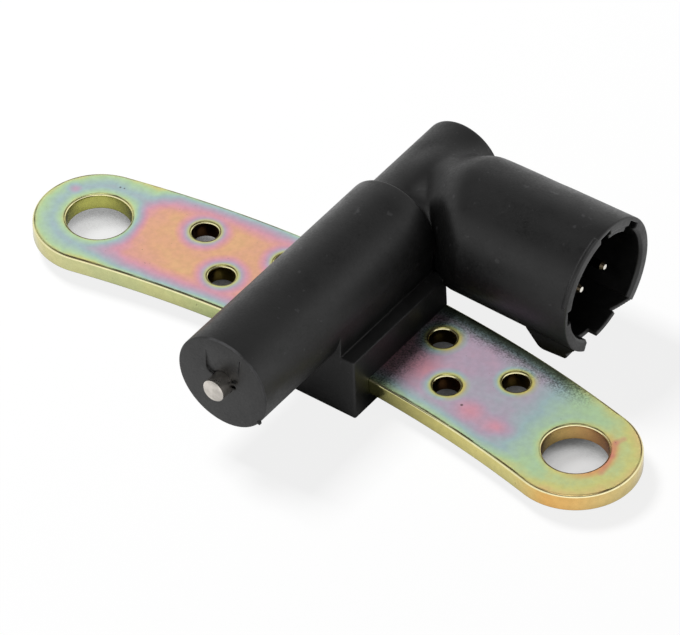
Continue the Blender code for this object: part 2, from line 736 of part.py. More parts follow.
def build_lead_wire(name, side, material):
    """Coil end that runs past the magnet and in to the contact pin."""
    wire = LEAD_WIRE_DIAMETER / 2
    out_x = side * (SLEEVE_OUTER_RADIUS + FIT_GAP + wire)
    in_x = side * PIN_SPACING / 2
    start_y = BOBBIN_REAR_Y - BOBBIN_FLANGE_THICKNESS
    turn_y = MAGNET_REAR_Y + FIT_GAP
    end_y = PIN_FRONT_Y - FIT_GAP
    meet_y = end_y - 2 * LEAD_WIRE_DIAMETER
    slant = (Vector((in_x, meet_y, 0)) - Vector((out_x, turn_y, 0))).normalized()
    ahead = Vector((0, 1, 0))
    path = [Vector((out_x, start_y, 0))]
    path += bend_points((out_x, turn_y, 0), ahead, slant, LEAD_WIRE_DIAMETER, 3)
    path += bend_points((in_x, meet_y, 0), slant, ahead, LEAD_WIRE_DIAMETER, 3)
    path.append(Vector((in_x, end_y, 0)))
    path = [point + Vector((0, 0, AXIS_Z)) for point in path]
    return add_object(name, swept_rod(path, [wire] * len(path), 10), material)


# Contact pins and their carrier


def pin_bend_y(side):
    return SHROUD_AXIS_Y - side * PIN_SPACING / 2


def build_contact_pin(name, side, material):
    """Round pin that runs back through the neck and turns into the socket."""
    x = side * PIN_SPACING / 2
    tip_x = SHROUD_END_X - PIN_RECESS
    y = pin_bend_y(side)
    path = [Vector((x, PIN_FRONT_Y, 0))]
    path += bend_points((x, y, 0), (0, 1, 0), (1, 0, 0), PIN_BEND_RADIUS, 6)
    path += [Vector((tip_x - 2 * PIN_TIP_CHAMFER, y, 0)), Vector((tip_x, y, 0))]
    path = [point + Vector((0, 0, AXIS_Z)) for point in path]
    radii = [PIN_RADIUS] * (len(path) - 1) + [PIN_RADIUS - PIN_TIP_CHAMFER]
    return add_object(name, swept_rod(path, radii, 20), material)


def build_carrier(material):
    """Insulating L-shaped carrier with an open channel for each contact pin."""
    front, rear = CARRIER_FRONT_Y, NECK_BORE_END_Y - FIT_GAP
    stem = turned([(front, CARRIER_RADIUS), (rear, CARRIER_RADIUS)], MEDIUM_SEGMENTS, on_barrel_axis())
    carrier = add_object("terminal_carrier", stem, material)
    arm = turned([(0.0, CARRIER_ARM_RADIUS), (SOCKET_FLOOR_X, CARRIER_ARM_RADIUS)], MEDIUM_SEGMENTS, on_shroud_axis())
    join(carrier, add_object("add_carrier_arm", arm))
    snug, roomy = PIN_RADIUS + FIT_GAP, PIN_RADIUS + 2 * FIT_GAP
    low, high = AXIS_Z - roomy, AXIS_Z + CARRIER_RADIUS + OVERRUN
    sealed_x = SOCKET_FLOOR_X - PIN_SEAL_LENGTH
    for side in (-1, 1):
        x, y = side * PIN_SPACING / 2, pin_bend_y(side)
        outline = [
            (x - roomy, front - OVERRUN),
            (x + roomy, front - OVERRUN),
            (x + roomy, y - roomy),
            (sealed_x, y - roomy),
            (sealed_x, y + roomy),
            (x - roomy, y + roomy),
        ]
        channel = extruded(outline, low, high, Matrix.Identity(4))
        beside = Matrix.Translation((0, y, AXIS_Z)) @ ALONG_X
        hole = turned([(sealed_x - snug, snug), (SOCKET_FLOOR_X + OVERRUN, snug)], SMALL_SEGMENTS, beside)
        cut(carrier, add_object("cut_channel", channel), add_object("cut_pin_hole", hole))
    return carrier


def main():
    clear_scene()
    zinc = make_material("yellow_zinc", (0.62, 0.58, 0.36), 0.32, 1.0)
    plastic = make_material("black_plastic", (0.025, 0.025, 0.027), 0.45, 0.0)
    carrier = make_material("carrier_plastic", (0.03, 0.03, 0.032), 0.50, 0.0)
    steel = make_material("bright_steel", (0.72, 0.70, 0.66), 0.30, 1.0)
    brass = make_material("tinned_brass", (0.74, 0.70, 0.58), 0.28, 1.0)
    copper = make_material("enamelled_copper", (0.55, 0.20, 0.08), 0.35, 0.6)
    magnet = make_material("sintered_magnet", (0.12, 0.12, 0.13), 0.50, 0.4)
    insulation = make_material("bobbin_plastic", (0.55, 0.50, 0.40), 0.50, 0.0)
    tape = make_material("polyester_tape", (0.60, 0.42, 0.08), 0.40, 0.0)

    build_mounting_plate(zinc)
    build_housing(plastic)
    build_pole_piece(steel)
    build_magnet(magnet)
    build_bobbin(insulation)
    build_winding(copper)
    build_tape(tape)
    build_lead_wire("lead_wire_left", -1, copper)
    build_lead_wire("lead_wire_right", 1, copper)
    build_contact_pin("contact_pin_left", -1, brass)
    build_contact_pin("contact_pin_right", 1, brass)
    build_carrier(carrier)


main()
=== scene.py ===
"""Looks of the crankshaft position sensor: finishes, studio and camera.

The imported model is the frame: metres, +Z up, X along the plate, Y from the sensing tip
(negative) to the connector (positive).
"""

import json
import math

import bmesh
import bpy
from mathutils import Matrix, Vector

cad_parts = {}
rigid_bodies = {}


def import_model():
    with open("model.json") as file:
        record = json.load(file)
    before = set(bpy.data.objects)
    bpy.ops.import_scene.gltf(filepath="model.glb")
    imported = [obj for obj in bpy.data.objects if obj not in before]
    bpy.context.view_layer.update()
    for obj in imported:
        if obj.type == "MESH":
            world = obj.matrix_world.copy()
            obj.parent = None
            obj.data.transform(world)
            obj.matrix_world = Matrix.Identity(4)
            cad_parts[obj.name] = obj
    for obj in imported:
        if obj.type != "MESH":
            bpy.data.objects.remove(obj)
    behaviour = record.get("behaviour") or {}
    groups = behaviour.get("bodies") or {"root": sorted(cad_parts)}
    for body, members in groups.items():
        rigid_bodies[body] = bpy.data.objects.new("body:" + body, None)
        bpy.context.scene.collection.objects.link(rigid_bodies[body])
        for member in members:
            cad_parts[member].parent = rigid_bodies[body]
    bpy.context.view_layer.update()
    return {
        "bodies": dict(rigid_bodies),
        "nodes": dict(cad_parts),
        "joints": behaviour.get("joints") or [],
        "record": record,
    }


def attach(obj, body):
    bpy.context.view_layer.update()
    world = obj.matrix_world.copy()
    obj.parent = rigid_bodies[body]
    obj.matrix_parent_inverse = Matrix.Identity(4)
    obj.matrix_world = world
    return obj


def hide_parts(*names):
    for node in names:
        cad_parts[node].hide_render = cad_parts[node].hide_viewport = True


MM = 0.001

# Camera, recovered from the photo
CAMERA_AZIMUTH = 36.86
CAMERA_ELEVATION = 42.63
CAMERA_ROLL = -1.0
CAMERA_DISTANCE = 1.0625
CAMERA_TARGET = Vector((-1.20, -1.63, 4.76)) * MM
LENS = 358.9

# Studio tent: brightness by height, from the horizon (0) to straight overhead (1)
TENT = (
    (0.0, 1.0), (0.35, 1.05), (0.55, 0.90), (0.72, 0.55),
    (0.84, 0.06), (0.925, 0.07), (0.965, 1.45), (1.0, 2.1),
)
TENT_PEAK = 2.5
TENT_LEAN = Vector((0.26, -0.15, 0.0))
TENT_ON_DIFFUSE = 0.08
LAMP_TOWARDS = Vector((-0.50, 0.02, 0.87))
LAMP_DISTANCE = 1.2
LAMP_SIZE = 0.36
LAMP_POWER = 15.5

# Floor: its part in the light, and painted shade on its glow where the camera sees the ground below the
# plate's holes
FLOOR_SIZE = 3.0
FLOOR_LIT = 0.15
FLOOR_GLOW = 0.85
FLOOR_REACH = 25 * MM
SEEN_SHIFT = (-2.0 * MM, 2.8 * MM)

# Plate: the arc through the bolt holes, and its holes
ARC_RADIUS = 206.3 * MM
BAND_SHIFT = 0.1 * MM
HALF_WIDTH = 10.6 * MM
PLATE_BOTTOM = 2.4 * MM
PLATE_TOP = 5.4 * MM
EAR_ANGLE = math.asin(92.3 / 2 / 206.3)
EAR_HOLE_RADIUS = 5.25 * MM
SMALL_HOLE_RADIUS = 2.15 * MM
SMALL_HOLE_FIRST_ARC = 14.8 * MM
SMALL_HOLE_PITCH = 7.45 * MM
SMALL_HOLE_ROW = 3.9 * MM
KEY_HOLE_RADIUS = 3.0 * MM
PLATE_EDGE_ROUND = 0.50 * MM
HOLE_EDGE_ROUND = 0.42 * MM

# Block of the housing that grips the plate, wider at its foot
BLOCK_WIDTH = 0.0226
BLOCK_FRONT = 0.0148
BLOCK_REAR = 0.0102
BLOCK_ABOVE_PLATE = 0.0056
BLOCK_DRAFT = 0.0004
BLOCK_CORNER_ROUND = 0.0003

# Barrel with the sensing tip, and the slimmer neck behind it
AXIS_ABOVE_PLATE = 0.0104
BARREL_DIAMETER = 0.0167
BARREL_TIP = 0.0335
BARREL_REAR = 0.0104
BARREL_EDGE_ROUND = 0.0002
CHEEK_REAR = 0.0099
TIP_WALL = 0.0018
NECK_DIAMETER = 0.0142
NECK_EDGE_ROUND = 0.0003
NECK_WEB_WIDTH = 0.0138
NECK_WEB_DROP = 0.0090

# Shallow mould mark above the pole piece on the tip face
TIP_MARK_WIDTH = 0.0060
TIP_MARK_HEIGHT = 0.0046
TIP_MARK_RISE = 0.0009
TIP_MARK_DEPTH = 0.0004
TIP_MARK_CORNER = 0.0011

# Small marks on the tip face: two grooves (left, rise), a pit and a crumb of flash
TIP_GROOVES = ((0.0028, 0.0014), (0.0034, 0.0062))
TIP_GROOVE_WIDTH = 0.00016
TIP_GROOVE_DEPTH = 0.0004
TIP_PIT_X = 0.0022
TIP_PIT_RISE = 0.0002
TIP_PIT_RADIUS = 0.0004
TIP_PIT_DEPTH = 0.0005
FLASH_X = (0.00655, 0.00715)
FLASH_DROP = (0.0049, 0.0045)
FLASH_OUT = 0.0002
FLASH_IN = 0.0003

# Round connector shroud across the neck
SHROUD_AXIS_Y = 0.0188
SHROUD_DIAMETER = 0.0228
SHROUD_ROOT_DIAMETER = 0.0223
SHROUD_ROOT_X = 0.0080
SHROUD_END_X = 0.03525
SOCKET_DIAMETER = 0.0189
SOCKET_DEPTH = 0.0145
SOCKET_MOUTH_CHAMFER = 0.0004

# Keyways in the socket wall: place round the rim in degrees, 0 towards +Y, 90 up
KEYWAY_ANGLES = (46.0, 92.5, 177.0)
KEYWAY_WIDTH = 0.0027
KEYWAY_RADIAL_DEPTH = 0.0012
KEYWAY_LENGTH = 0.0050

# Guide pad inside the socket, between two keyways
PAD_ANGLES = (53.0, 84.0)
PAD_HEIGHT = 0.0007
PAD_SETBACK = 0.0

# Cut-outs in the lower rim: from angle, to angle, depth at each
RIM_SLOT = (-121.5, -92.0, 0.0030, 0.0030)
RIM_STEP = (-92.5, -65.5, 0.0015, 0.0015)
RIM_SLOPE = (-66.0, -50.0, 0.0023, 0.0003)

# Raised bead on the outside of the rim
BEAD_ANGLES = (103.0, 166.0)
BEAD_HEIGHT = 0.00016
BEAD_LENGTH = 0.0007

# Square-sided latch boss under the near side of the shroud
LATCH_SIDE_OFFSET = 0.0086
LATCH_BOTTOM_DROP = 0.0104
LATCH_START_SETBACK = 0.0092
LATCH_RAMP_LENGTH = 0.0026
LATCH_RAMP_ROUND = 0.0008
LATCH_END_SETBACK = 0.0015

# Soft root of the shroud and step behind the barrel
SHOULDER_SHIFT = 0.0005
ROOT_SHIFT = 0.0029
ROOT_SETBACK = 0.0040
ROOT_LENGTH = 0.0090
ROOT_INNER_RADIUS = 0.0062
ROOT_SWELL_POWER = 0.75
ROOT_BLEND = 0.0048
ROOT_SMOOTHINGS = 14
ROOT_PULL_BELOW = 0.0024
ROOT_SKIN = 0.0003
ROOT_FROM_X = -0.0060
ROOT_MARGIN_FRONT = 0.0002
ROOT_MARGIN_REAR = 0.0006
ROOT_FADE_FRONT = 0.004
ROOT_FADE_REAR = 0.005
SMOOTH_X = (-0.004, 0.015)
SMOOTH_FRONT = 0.0012
SMOOTH_REAR = 0.0015
SMOOTH_DROP = 0.007
WEB_EXTRA = 0.0008

# Thinner wall round the bottom of the mouth
THIN_WALL = (-122.0, -50.0, SOCKET_DEPTH - 0.0002, SOCKET_DEPTH - 0.0002)
THIN_WALL_THICKNESS = 0.0008

# Bores inside the housing
POLE_RADIUS = 0.0019
CORE_BORE_RADIUS = 0.00675
CORE_BORE_REAR = 0.0012
NECK_BORE_RADIUS = 0.0055
NECK_BORE_END_Y = 0.0270
SIDE_BORE_RADIUS = 0.0052
SNUG = 0.00002
OVERRUN = 0.002
SMOOTH_SEGMENTS = 168
MEDIUM_SEGMENTS = 64

# Places worked out from the dimensions above
AXIS_Z = PLATE_TOP + AXIS_ABOVE_PLATE
BLOCK_TOP_Z = PLATE_TOP + BLOCK_ABOVE_PLATE
BARREL_RADIUS = BARREL_DIAMETER / 2
NECK_RADIUS = NECK_DIAMETER / 2
SHROUD_RADIUS = SHROUD_DIAMETER / 2
SHROUD_ROOT_RADIUS = SHROUD_ROOT_DIAMETER / 2
SOCKET_RADIUS = SOCKET_DIAMETER / 2
SOCKET_FLOOR_X = SHROUD_END_X - SOCKET_DEPTH
NECK_END_Y = SHROUD_AXIS_Y + SHROUD_RADIUS
CORE_BORE_FRONT_Y = -BARREL_TIP + TIP_WALL
ALONG_Y = Matrix.Rotation(math.radians(-90), 4, "X")
ALONG_X = Matrix.Rotation(math.radians(90), 4, "Y")

# Film on the plating: colours from the thinnest film to the thickest, and thicker patches
FILM_TINTS = [
    (0.00, (0.84, 0.62, 0.26)),
    (0.07, (0.72, 0.70, 0.26)),
    (0.17, (0.52, 0.72, 0.42)),
    (0.30, (0.42, 0.57, 0.58)),
    (0.44, (0.54, 0.43, 0.54)),
    (0.58, (0.74, 0.37, 0.46)),
    (0.70, (0.82, 0.40, 0.36)),
    (0.82, (0.84, 0.46, 0.27)),
    (0.92, (0.84, 0.58, 0.25)),
]
FILM_PATCHES = (
    ((17.5, -4.0), 6.5, 0.14),
    ((33.8, -8.6), 5.5, 0.22),
    ((28.0, -7.8), 5.0, 0.22),
    ((-53.5, -2.0), 2.5, 0.30),
)

# Marks on the plate: dark specks with their size, and a pink smudge by the right ear's hole
FILM_REACH = 57 * MM
PATCH_STRETCH = 1.4
SPECKS = (((26.3, -7.4), 0.30), ((-47.6, 2.3), 0.22), ((-46.9, 2.45), 0.18))
SMUDGE = ((51.0, 0.8), (50.5, -0.6), (51.6, -3.3), (52.4, -7.4))

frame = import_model()
nodes = frame["nodes"]


class Shader:
    """Short way to write a material's or world's nodes."""

    def __init__(self, tree):
        self.tree = tree
        tree.nodes.clear()

    def add(self, kind, inputs=None, **settings):
        node = self.tree.nodes.new(kind)
        for key, value in settings.items():
            setattr(node, key, value)
        for key, value in (inputs or {}).items():
            self.feed(node.inputs[key], value)
        return node

    def feed(self, socket, value):
        if isinstance(value, bpy.types.NodeSocket):
            self.tree.links.new(value, socket)
        elif isinstance(value, bpy.types.Node):
            self.tree.links.new(value.outputs[0], socket)
        else:
            socket.default_value = value

    def math(self, operation, a, b=None, c=None, clamp=False):
        node = self.add("ShaderNodeMath", operation=operation, use_clamp=clamp)
        for index, value in enumerate((a, b, c)):
            if value is not None:
                self.feed(node.inputs[index], value)
        return node.outputs[0]

    def times(self, *values):
        product = values[0]
        for value in values[1:]:
            product = self.math("MULTIPLY", product, value)
        return product

    def opposite(self, value):
        return self.math("SUBTRACT", 1.0, value)

    def split(self, value):
        return self.add("ShaderNodeSeparateXYZ", {"Vector": value}).outputs

    def joined(self, x=0.0, y=0.0, z=0.0):
        return self.add("ShaderNodeCombineXYZ", {"X": x, "Y": y, "Z": z}).outputs[0]

    def from_spot(self, place, spot):
        """Distance from a spot given in millimetres in the plane of the plate."""
        return self.vector("DISTANCE", place, (spot[0] * MM, spot[1] * MM, 0.0))

    def vector(self, operation, a, b=None, scale=None):
        node = self.add("ShaderNodeVectorMath", operation=operation)
        self.feed(node.inputs[0], a)
        if b is not None:
            self.feed(node.inputs[1], b)
        if scale is not None:
            self.feed(node.inputs["Scale"], scale)
        return node.outputs["Value" if operation in ("DISTANCE", "LENGTH", "DOT_PRODUCT") else "Vector"]

    def ranged(self, value, low, high, to_low=0.0, to_high=1.0, smooth=True):
        node = self.add("ShaderNodeMapRange", interpolation_type="SMOOTHSTEP" if smooth else "LINEAR")
        names = ("Value", "From Min", "From Max", "To Min", "To Max")
        for name, item in zip(names, (value, low, high, to_low, to_high)):
            self.feed(node.inputs[name], item)
        return node.outputs[0]

    def ramp(self, value, stops):
        node = self.add("ShaderNodeValToRGB")
        self.feed(node.inputs[0], value)
        elements = node.color_ramp.elements
        while len(elements) < len(stops):
            elements.new(0.5)
        for element, (place, colour) in zip(elements, stops):
            element.position = place
            element.color = (*colour, 1.0)
        return node.outputs[0]

    def noise(self, place, scale, detail=2.0, roughness=0.5):
        inputs = {"Vector": place, "Scale": scale, "Detail": detail, "Roughness": roughness}
        return self.add("ShaderNodeTexNoise", inputs).outputs["Fac"]

    def mix(self, factor, a, b, blend="MIX"):
        node = self.add("ShaderNodeMix", data_type="RGBA", blend_type=blend, clamp_factor=True)
        for name, value in (("Factor_Float", factor), ("A_Color", a), ("B_Color", b)):
            socket = next(item for item in node.inputs if item.identifier == name)
            self.feed(socket, value if not isinstance(value, tuple) else (*value, 1.0)[:4])
        return next(item for item in node.outputs if item.identifier == "Result_Color")

    def bump(self, height, distance, strength=1.0, normal=None):
        inputs = {"Height": height, "Distance": distance, "Strength": strength}
        if normal is not None:
            inputs["Normal"] = normal
        return self.add("ShaderNodeBump", inputs).outputs[0]

    def background_seen(self):
        """1 for rays that show the background, straight or in metal and glass."""
        path = self.add("ShaderNodeLightPath")
        seen = self.math("MAXIMUM", path.outputs["Is Camera Ray"], path.outputs["Is Glossy Ray"])
        return self.math("MAXIMUM", seen, path.outputs["Is Transmission Ray"])

    def surface(self, **inputs):
        shader = self.add("ShaderNodeBsdfPrincipled")
        for key, value in inputs.items():
            self.feed(shader.inputs[key.replace("_", " ")], value)
        self.add("ShaderNodeOutputMaterial", {"Surface": shader})
        return shader


def new_material(name):
    material = bpy.data.materials.new(name)
    material.use_nodes = True
    return material, Shader(material.node_tree)


def srgb(red, green, blue):
    """Linear colour from values on the 0 to 255 scale of a picture."""
    out = []
    for value in (red, green, blue):
        value /= 255
        out.append(value / 12.92 if value <= 0.04045 else ((value + 0.055) / 1.055) ** 2.4)
    return tuple(out)


def plate_point(angle, radius):
    return (radius * math.sin(angle), radius * math.cos(angle) - ARC_RADIUS)


def small_holes():
    for side in (-1, 1):
        for index in range(3):
            arc = SMALL_HOLE_FIRST_ARC + index * SMALL_HOLE_PITCH
            row = SMALL_HOLE_ROW if index % 2 == 0 else -SMALL_HOLE_ROW
            yield plate_point(side * arc / ARC_RADIUS, ARC_RADIUS + row)


# Shapes


def arc_points(centre, radius, start, end, count):
    """Points of an arc in a plane, angles in degrees, both ends included."""
    points = []
    for step in range(count + 1):
        angle = math.radians(start + (end - start) * step / count)
        points.append((centre[0] + radius * math.cos(angle), centre[1] + radius * math.sin(angle)))
    return points


def add_object(name, shape, material=None, smooth_angle=35.0):
    bmesh.ops.remove_doubles(shape, verts=shape.verts, dist=1e-7)
    bmesh.ops.recalc_face_normals(shape, faces=shape.faces)
    mesh = bpy.data.meshes.new(name)
    shape.to_mesh(mesh)
    shape.free()
    mesh.shade_smooth()
    mesh.set_sharp_from_angle(angle=math.radians(smooth_angle))
    if material is not None:
        mesh.materials.append(material)
    item = bpy.data.objects.new(name, mesh)
    bpy.context.collection.objects.link(item)
    return item


def extruded(outlines, low, high, placement=None):
    """Prisms of one or more plane outlines between two levels of their third axis."""
    shape = bmesh.new()
    for outline in outlines:
        base = shape.faces.new([shape.verts.new((u, v, low)) for u, v in outline])
        made = bmesh.ops.extrude_face_region(shape, geom=[base], use_keep_orig=True)
        raised = [item for item in made["geom"] if isinstance(item, bmesh.types.BMVert)]
        bmesh.ops.translate(shape, vec=(0, 0, high - low), verts=raised)
    if placement is not None:
        bmesh.ops.transform(shape, matrix=placement, verts=shape.verts)
    return shape


def settle(item):
    """Keep the shape that the modifiers make and drop the helpers they used."""
    helpers = [step.object for step in item.modifiers if step.type == "BOOLEAN"]
    graph = bpy.context.evaluated_depsgraph_get()
    mesh = bpy.data.meshes.new_from_object(item.evaluated_get(graph))
    item.modifiers.clear()
    item.data = mesh
    for helper in helpers:
        bpy.data.objects.remove(helper, do_unlink=True)


def cut(item, helper, operation="DIFFERENCE"):
    step = item.modifiers.new(operation.title() + " " + helper.name, "BOOLEAN")
    step.object = helper
    step.operation = operation
    step.solver = "EXACT"


def gather(shapes):
    """Put several closed shapes that lie apart into one."""
    together = bmesh.new()
    for shape in shapes:
        mesh = bpy.data.meshes.new("gathered")
        shape.to_mesh(mesh)
        shape.free()
        together.from_mesh(mesh)
        bpy.data.meshes.remove(mesh)
    return together


def close_ends(shape):
    rims = [edge for edge in shape.edges if edge.is_boundary]
    bmesh.ops.holes_fill(shape, edges=rims, sides=0)


def closed_loop(shape, points):
    """Edges of a closed outline through the points."""
    corners = [shape.verts.new(point) for point in points]
    return [shape.edges.new((corners[i - 1], corners[i])) for i in range(len(corners))]


def loft(rings):
    """Closed body bridged through rings of equal length, with a cap at each end."""
    shape = bmesh.new()
    loops = [closed_loop(shape, ring) for ring in rings]
    for loop, after in zip(loops, loops[1:]):
        bmesh.ops.bridge_loops(shape, edges=loop + after)
    close_ends(shape)
    return shape


def spin_full_turn(shape, segments, placement):
    """Spin what the shape holds once round Z, then put it in its place."""
    bmesh.ops.spin(
        shape,
        geom=shape.verts[:] + shape.edges[:],
        cent=(0, 0, 0),
        axis=(0, 0, 1),
        angle=2 * math.pi,
        steps=segments,
        use_merge=True,
    )
    bmesh.ops.remove_doubles(shape, verts=shape.verts, dist=1e-7)
    bmesh.ops.transform(shape, matrix=placement, verts=shape.verts)


def turned(profile, segments, placement):
    """Solid of revolution. The profile lists (axial place, radius) from end to end."""
    shape = bmesh.new()
    corners = [shape.verts.new((radius, 0, axial)) for axial, radius in profile]
    for corner, after in zip(corners, corners[1:]):
        shape.edges.new((corner, after))
    spin_full_turn(shape, segments, placement)
    close_ends(shape)
    return shape


def block(low, high):
    outline = [(low[0], low[1]), (high[0], low[1]), (high[0], high[1]), (low[0], high[1])]
    return extruded([outline], low[2], high[2])


def on_barrel_axis():
    return Matrix.Translation((0, 0, AXIS_Z)) @ ALONG_Y


def on_shroud_axis():
    return Matrix.Translation((0, SHROUD_AXIS_Y, AXIS_Z)) @ ALONG_X


def rim_point(angle, radius, x):
    """Point round the shroud's axis, angle in degrees from +Y towards +Z."""
    turn = math.radians(angle)
    return Vector((x, SHROUD_AXIS_Y + radius * math.cos(turn), AXIS_Z + radius * math.sin(turn)))


def bend_points(corner, entering, leaving, radius, count):
    """Points round a right-angled or slanted corner of a path."""
    corner, entering, leaving = Vector(corner), Vector(entering), Vector(leaving)
    start = corner - entering * radius
    end = corner + leaving * radius
    points = []
    for step in range(count + 1):
        share = step / count
        points.append(start * (1 - share) ** 2 + corner * 2 * share * (1 - share) + end * share ** 2)
    return points


def drafted_block():
    """Block round the plate: wider at the foot, with rounded upright corners."""
    rings = []
    for z, inset in ((0.0, 0.0), (BLOCK_TOP_Z, BLOCK_DRAFT)):
        half = BLOCK_WIDTH / 2 - inset
        front = -BLOCK_FRONT + inset
        rear = BLOCK_REAR
        round_ = BLOCK_CORNER_ROUND
        ring = []
        for cx, cy, start in (
            (half - round_, front + round_, -90),
            (half - round_, rear - round_, 0),
            (-half + round_, rear - round_, 90),
            (-half + round_, front + round_, 180),
        ):
            ring += [(x, y, z) for x, y in arc_points((cx, cy), round_, start, start + 90, 4)]
        rings.append(ring)
    return loft(rings)


def barrel_profile():
    """Barrel, the step down behind it, and the neck to its rounded end."""
    tip, edge, end, round_ = -BARREL_TIP, BARREL_EDGE_ROUND, NECK_END_Y, NECK_EDGE_ROUND
    rear = BARREL_REAR + SHOULDER_SHIFT
    foot = 0.0006
    profile = arc_points((tip + edge, BARREL_RADIUS - edge), edge, 180, 90, 6)
    profile += [(tip + (rear - tip) * step / 12, BARREL_RADIUS) for step in range(1, 12)]
    profile += arc_points((rear - edge, BARREL_RADIUS - edge), edge, 90, 0, 4)
    profile += arc_points((rear + foot, NECK_RADIUS + foot), foot, 180, 270, 6)
    flat_from, flat_steps = rear + foot, 36
    flat_pitch = (end - round_ - flat_from) / flat_steps
    profile += [(flat_from + flat_pitch * step, NECK_RADIUS) for step in range(1, flat_steps)]
    profile += arc_points((end - round_, NECK_RADIUS - round_), round_, 90, 0, 8)
    return profile


def shroud_root_x(angle):
    """Where the shroud's full section begins: further out on its near side, less so below."""
    nearness = max(0.0, -math.cos(angle))
    below = max(0.0, -math.sin(angle))
    return SHROUD_ROOT_X + ROOT_SHIFT + ROOT_SETBACK * nearness ** 1.5 - ROOT_PULL_BELOW * below


def shroud():
    """Round shroud whose inner end swells softly out of the neck."""
    root, lip = SHROUD_ROOT_RADIUS, SOCKET_MOUTH_CHAMFER / 2
    steps = [2 * math.pi * step / SMOOTH_SEGMENTS for step in range(SMOOTH_SEGMENTS)]
    rings = []
    for step in range(25):
        share = step / 24
        swell = math.sin(math.pi / 2 * share ** ROOT_SWELL_POWER) ** 2
        radius = ROOT_INNER_RADIUS + (root - ROOT_INNER_RADIUS) * swell
        ring = []
        for angle in steps:
            x = shroud_root_x(angle) - ROOT_LENGTH * (1 - share)
            ring.append(rim_point(math.degrees(angle), radius, x))
        rings.append(ring)
    for step in range(1, 10):
        share = step / 10
        ring = []
        for angle in steps:
            start = shroud_root_x(angle)
            radius = root + (SHROUD_RADIUS - root) * share
            x = start + (SHROUD_END_X - lip - start) * share
            ring.append(rim_point(math.degrees(angle), radius, x))
        rings.append(ring)
    for step in range(7):
        turn = math.radians(90 * step / 6)
        radius = SHROUD_RADIUS - lip * (1 - math.cos(turn))
        x = SHROUD_END_X - lip * (1 - math.sin(turn))
        rings.append([rim_point(math.degrees(angle), radius, x) for angle in steps])
    return loft(rings)


def blend_root(item):
    """Fill the crease between the neck and the shroud's root with a soft hollow."""
    def off_neck(spot):
        return math.hypot(spot.x, spot.z - AXIS_Z) - NECK_RADIUS

    def off_root(spot):
        angle = math.atan2(spot.z - AXIS_Z, spot.y - SHROUD_AXIS_Y)
        share = 1 - (shroud_root_x(angle) - spot.x) / ROOT_LENGTH
        short = (max(0.0, -share) * ROOT_LENGTH) ** 2 / ROOT_BLEND
        share = min(1.0, max(0.0, share))
        swell = math.sin(math.pi / 2 * share ** ROOT_SWELL_POWER) ** 2
        radius = ROOT_INNER_RADIUS + (SHROUD_ROOT_RADIUS - ROOT_INNER_RADIUS) * swell
        return math.hypot(spot.y - SHROUD_AXIS_Y, spot.z - AXIS_Z) - radius + short

    def both(spot):
        neck, root = off_neck(spot), off_root(spot)
        near = max(0.0, 1 - abs(neck - root) / ROOT_BLEND)
        return min(neck, root) - near * near * ROOT_BLEND / 4

    rear = BARREL_REAR + SHOULDER_SHIFT
    front, back = rear + ROOT_MARGIN_FRONT, NECK_END_Y - ROOT_MARGIN_REAR
    step = 0.00005

    def slope_at(spot):
        here = both(spot)
        offsets = [Vector([step * (axis == other) for other in range(3)]) for axis in range(3)]
        return Vector([(both(spot + offset) - here) / step for offset in offsets])

    for vertex in item.data.vertices:
        spot = vertex.co.copy()
        inside = ROOT_FROM_X <= spot.x <= SOCKET_FLOOR_X and front <= spot.y <= back
        if not inside or min(abs(off_neck(spot)), abs(off_root(spot))) > ROOT_SKIN:
            continue
        fade = min(1.0, (spot.y - front) / ROOT_FADE_FRONT, (back - spot.y) / ROOT_FADE_REAR)
        fade = fade * fade * (3 - 2 * fade)
        aim = spot.copy()
        for turn in range(3):
            slope = slope_at(aim)
            aim -= slope * (both(aim) / max(slope.length_squared, 0.2))
        vertex.co = spot.lerp(aim, fade)
    smooth_root(item, rear)


def smooth_root(item, rear):
    """Even out the hollow between the neck and the shroud."""
    shape = bmesh.new()
    shape.from_mesh(item.data)
    near = []
    for vertex in shape.verts:
        x, y, z = vertex.co
        in_length = rear + SMOOTH_FRONT < y < NECK_END_Y - SMOOTH_REAR
        if SMOOTH_X[0] < x < SMOOTH_X[1] and in_length and z > AXIS_Z - SMOOTH_DROP:
            near.append(vertex)
    every_way = {"use_axis_x": True, "use_axis_y": True, "use_axis_z": True}
    for turn in range(ROOT_SMOOTHINGS):
        bmesh.ops.smooth_vert(shape, verts=near, factor=0.5, **every_way)
    shape.to_mesh(item.data)
    shape.free()


def rim_sector(name, first, last, depth_first, depth_last, inner, outer):
    """Piece of a ring at the rim, cut back from the shroud's end by a varying depth."""
    steps = max(4, round(abs(last - first) / 2))
    rings = []
    for step in range(steps + 1):
        share = step / steps
        angle = first + (last - first) * share
        back = SHROUD_END_X - (depth_first + (depth_last - depth_first) * share)
        ahead = SHROUD_END_X + OVERRUN
        rings.append([
            rim_point(angle, inner, back),
            rim_point(angle, outer, back),
            rim_point(angle, outer, ahead),
            rim_point(angle, inner, ahead),
        ])
    return add_object(name, loft(rings))


def keyway(angle):
    """Axial groove in the socket's wall, open at the rim."""
    half = KEYWAY_WIDTH / 2
    inner = SOCKET_RADIUS - OVERRUN
    outer = SOCKET_RADIUS + KEYWAY_RADIAL_DEPTH
    outline = [(inner, -half), (outer, -half), (outer, half), (inner, half)]
    turn = Matrix.Rotation(math.radians(angle), 4, "X")
    frame = Matrix(((0, 0, 1, 0), (1, 0, 0, 0), (0, 1, 0, 0), (0, 0, 0, 1)))
    placement = Matrix.Translation((0, SHROUD_AXIS_Y, AXIS_Z)) @ turn @ frame
    return extruded([outline], SHROUD_END_X - KEYWAY_LENGTH, SHROUD_END_X + OVERRUN, placement)


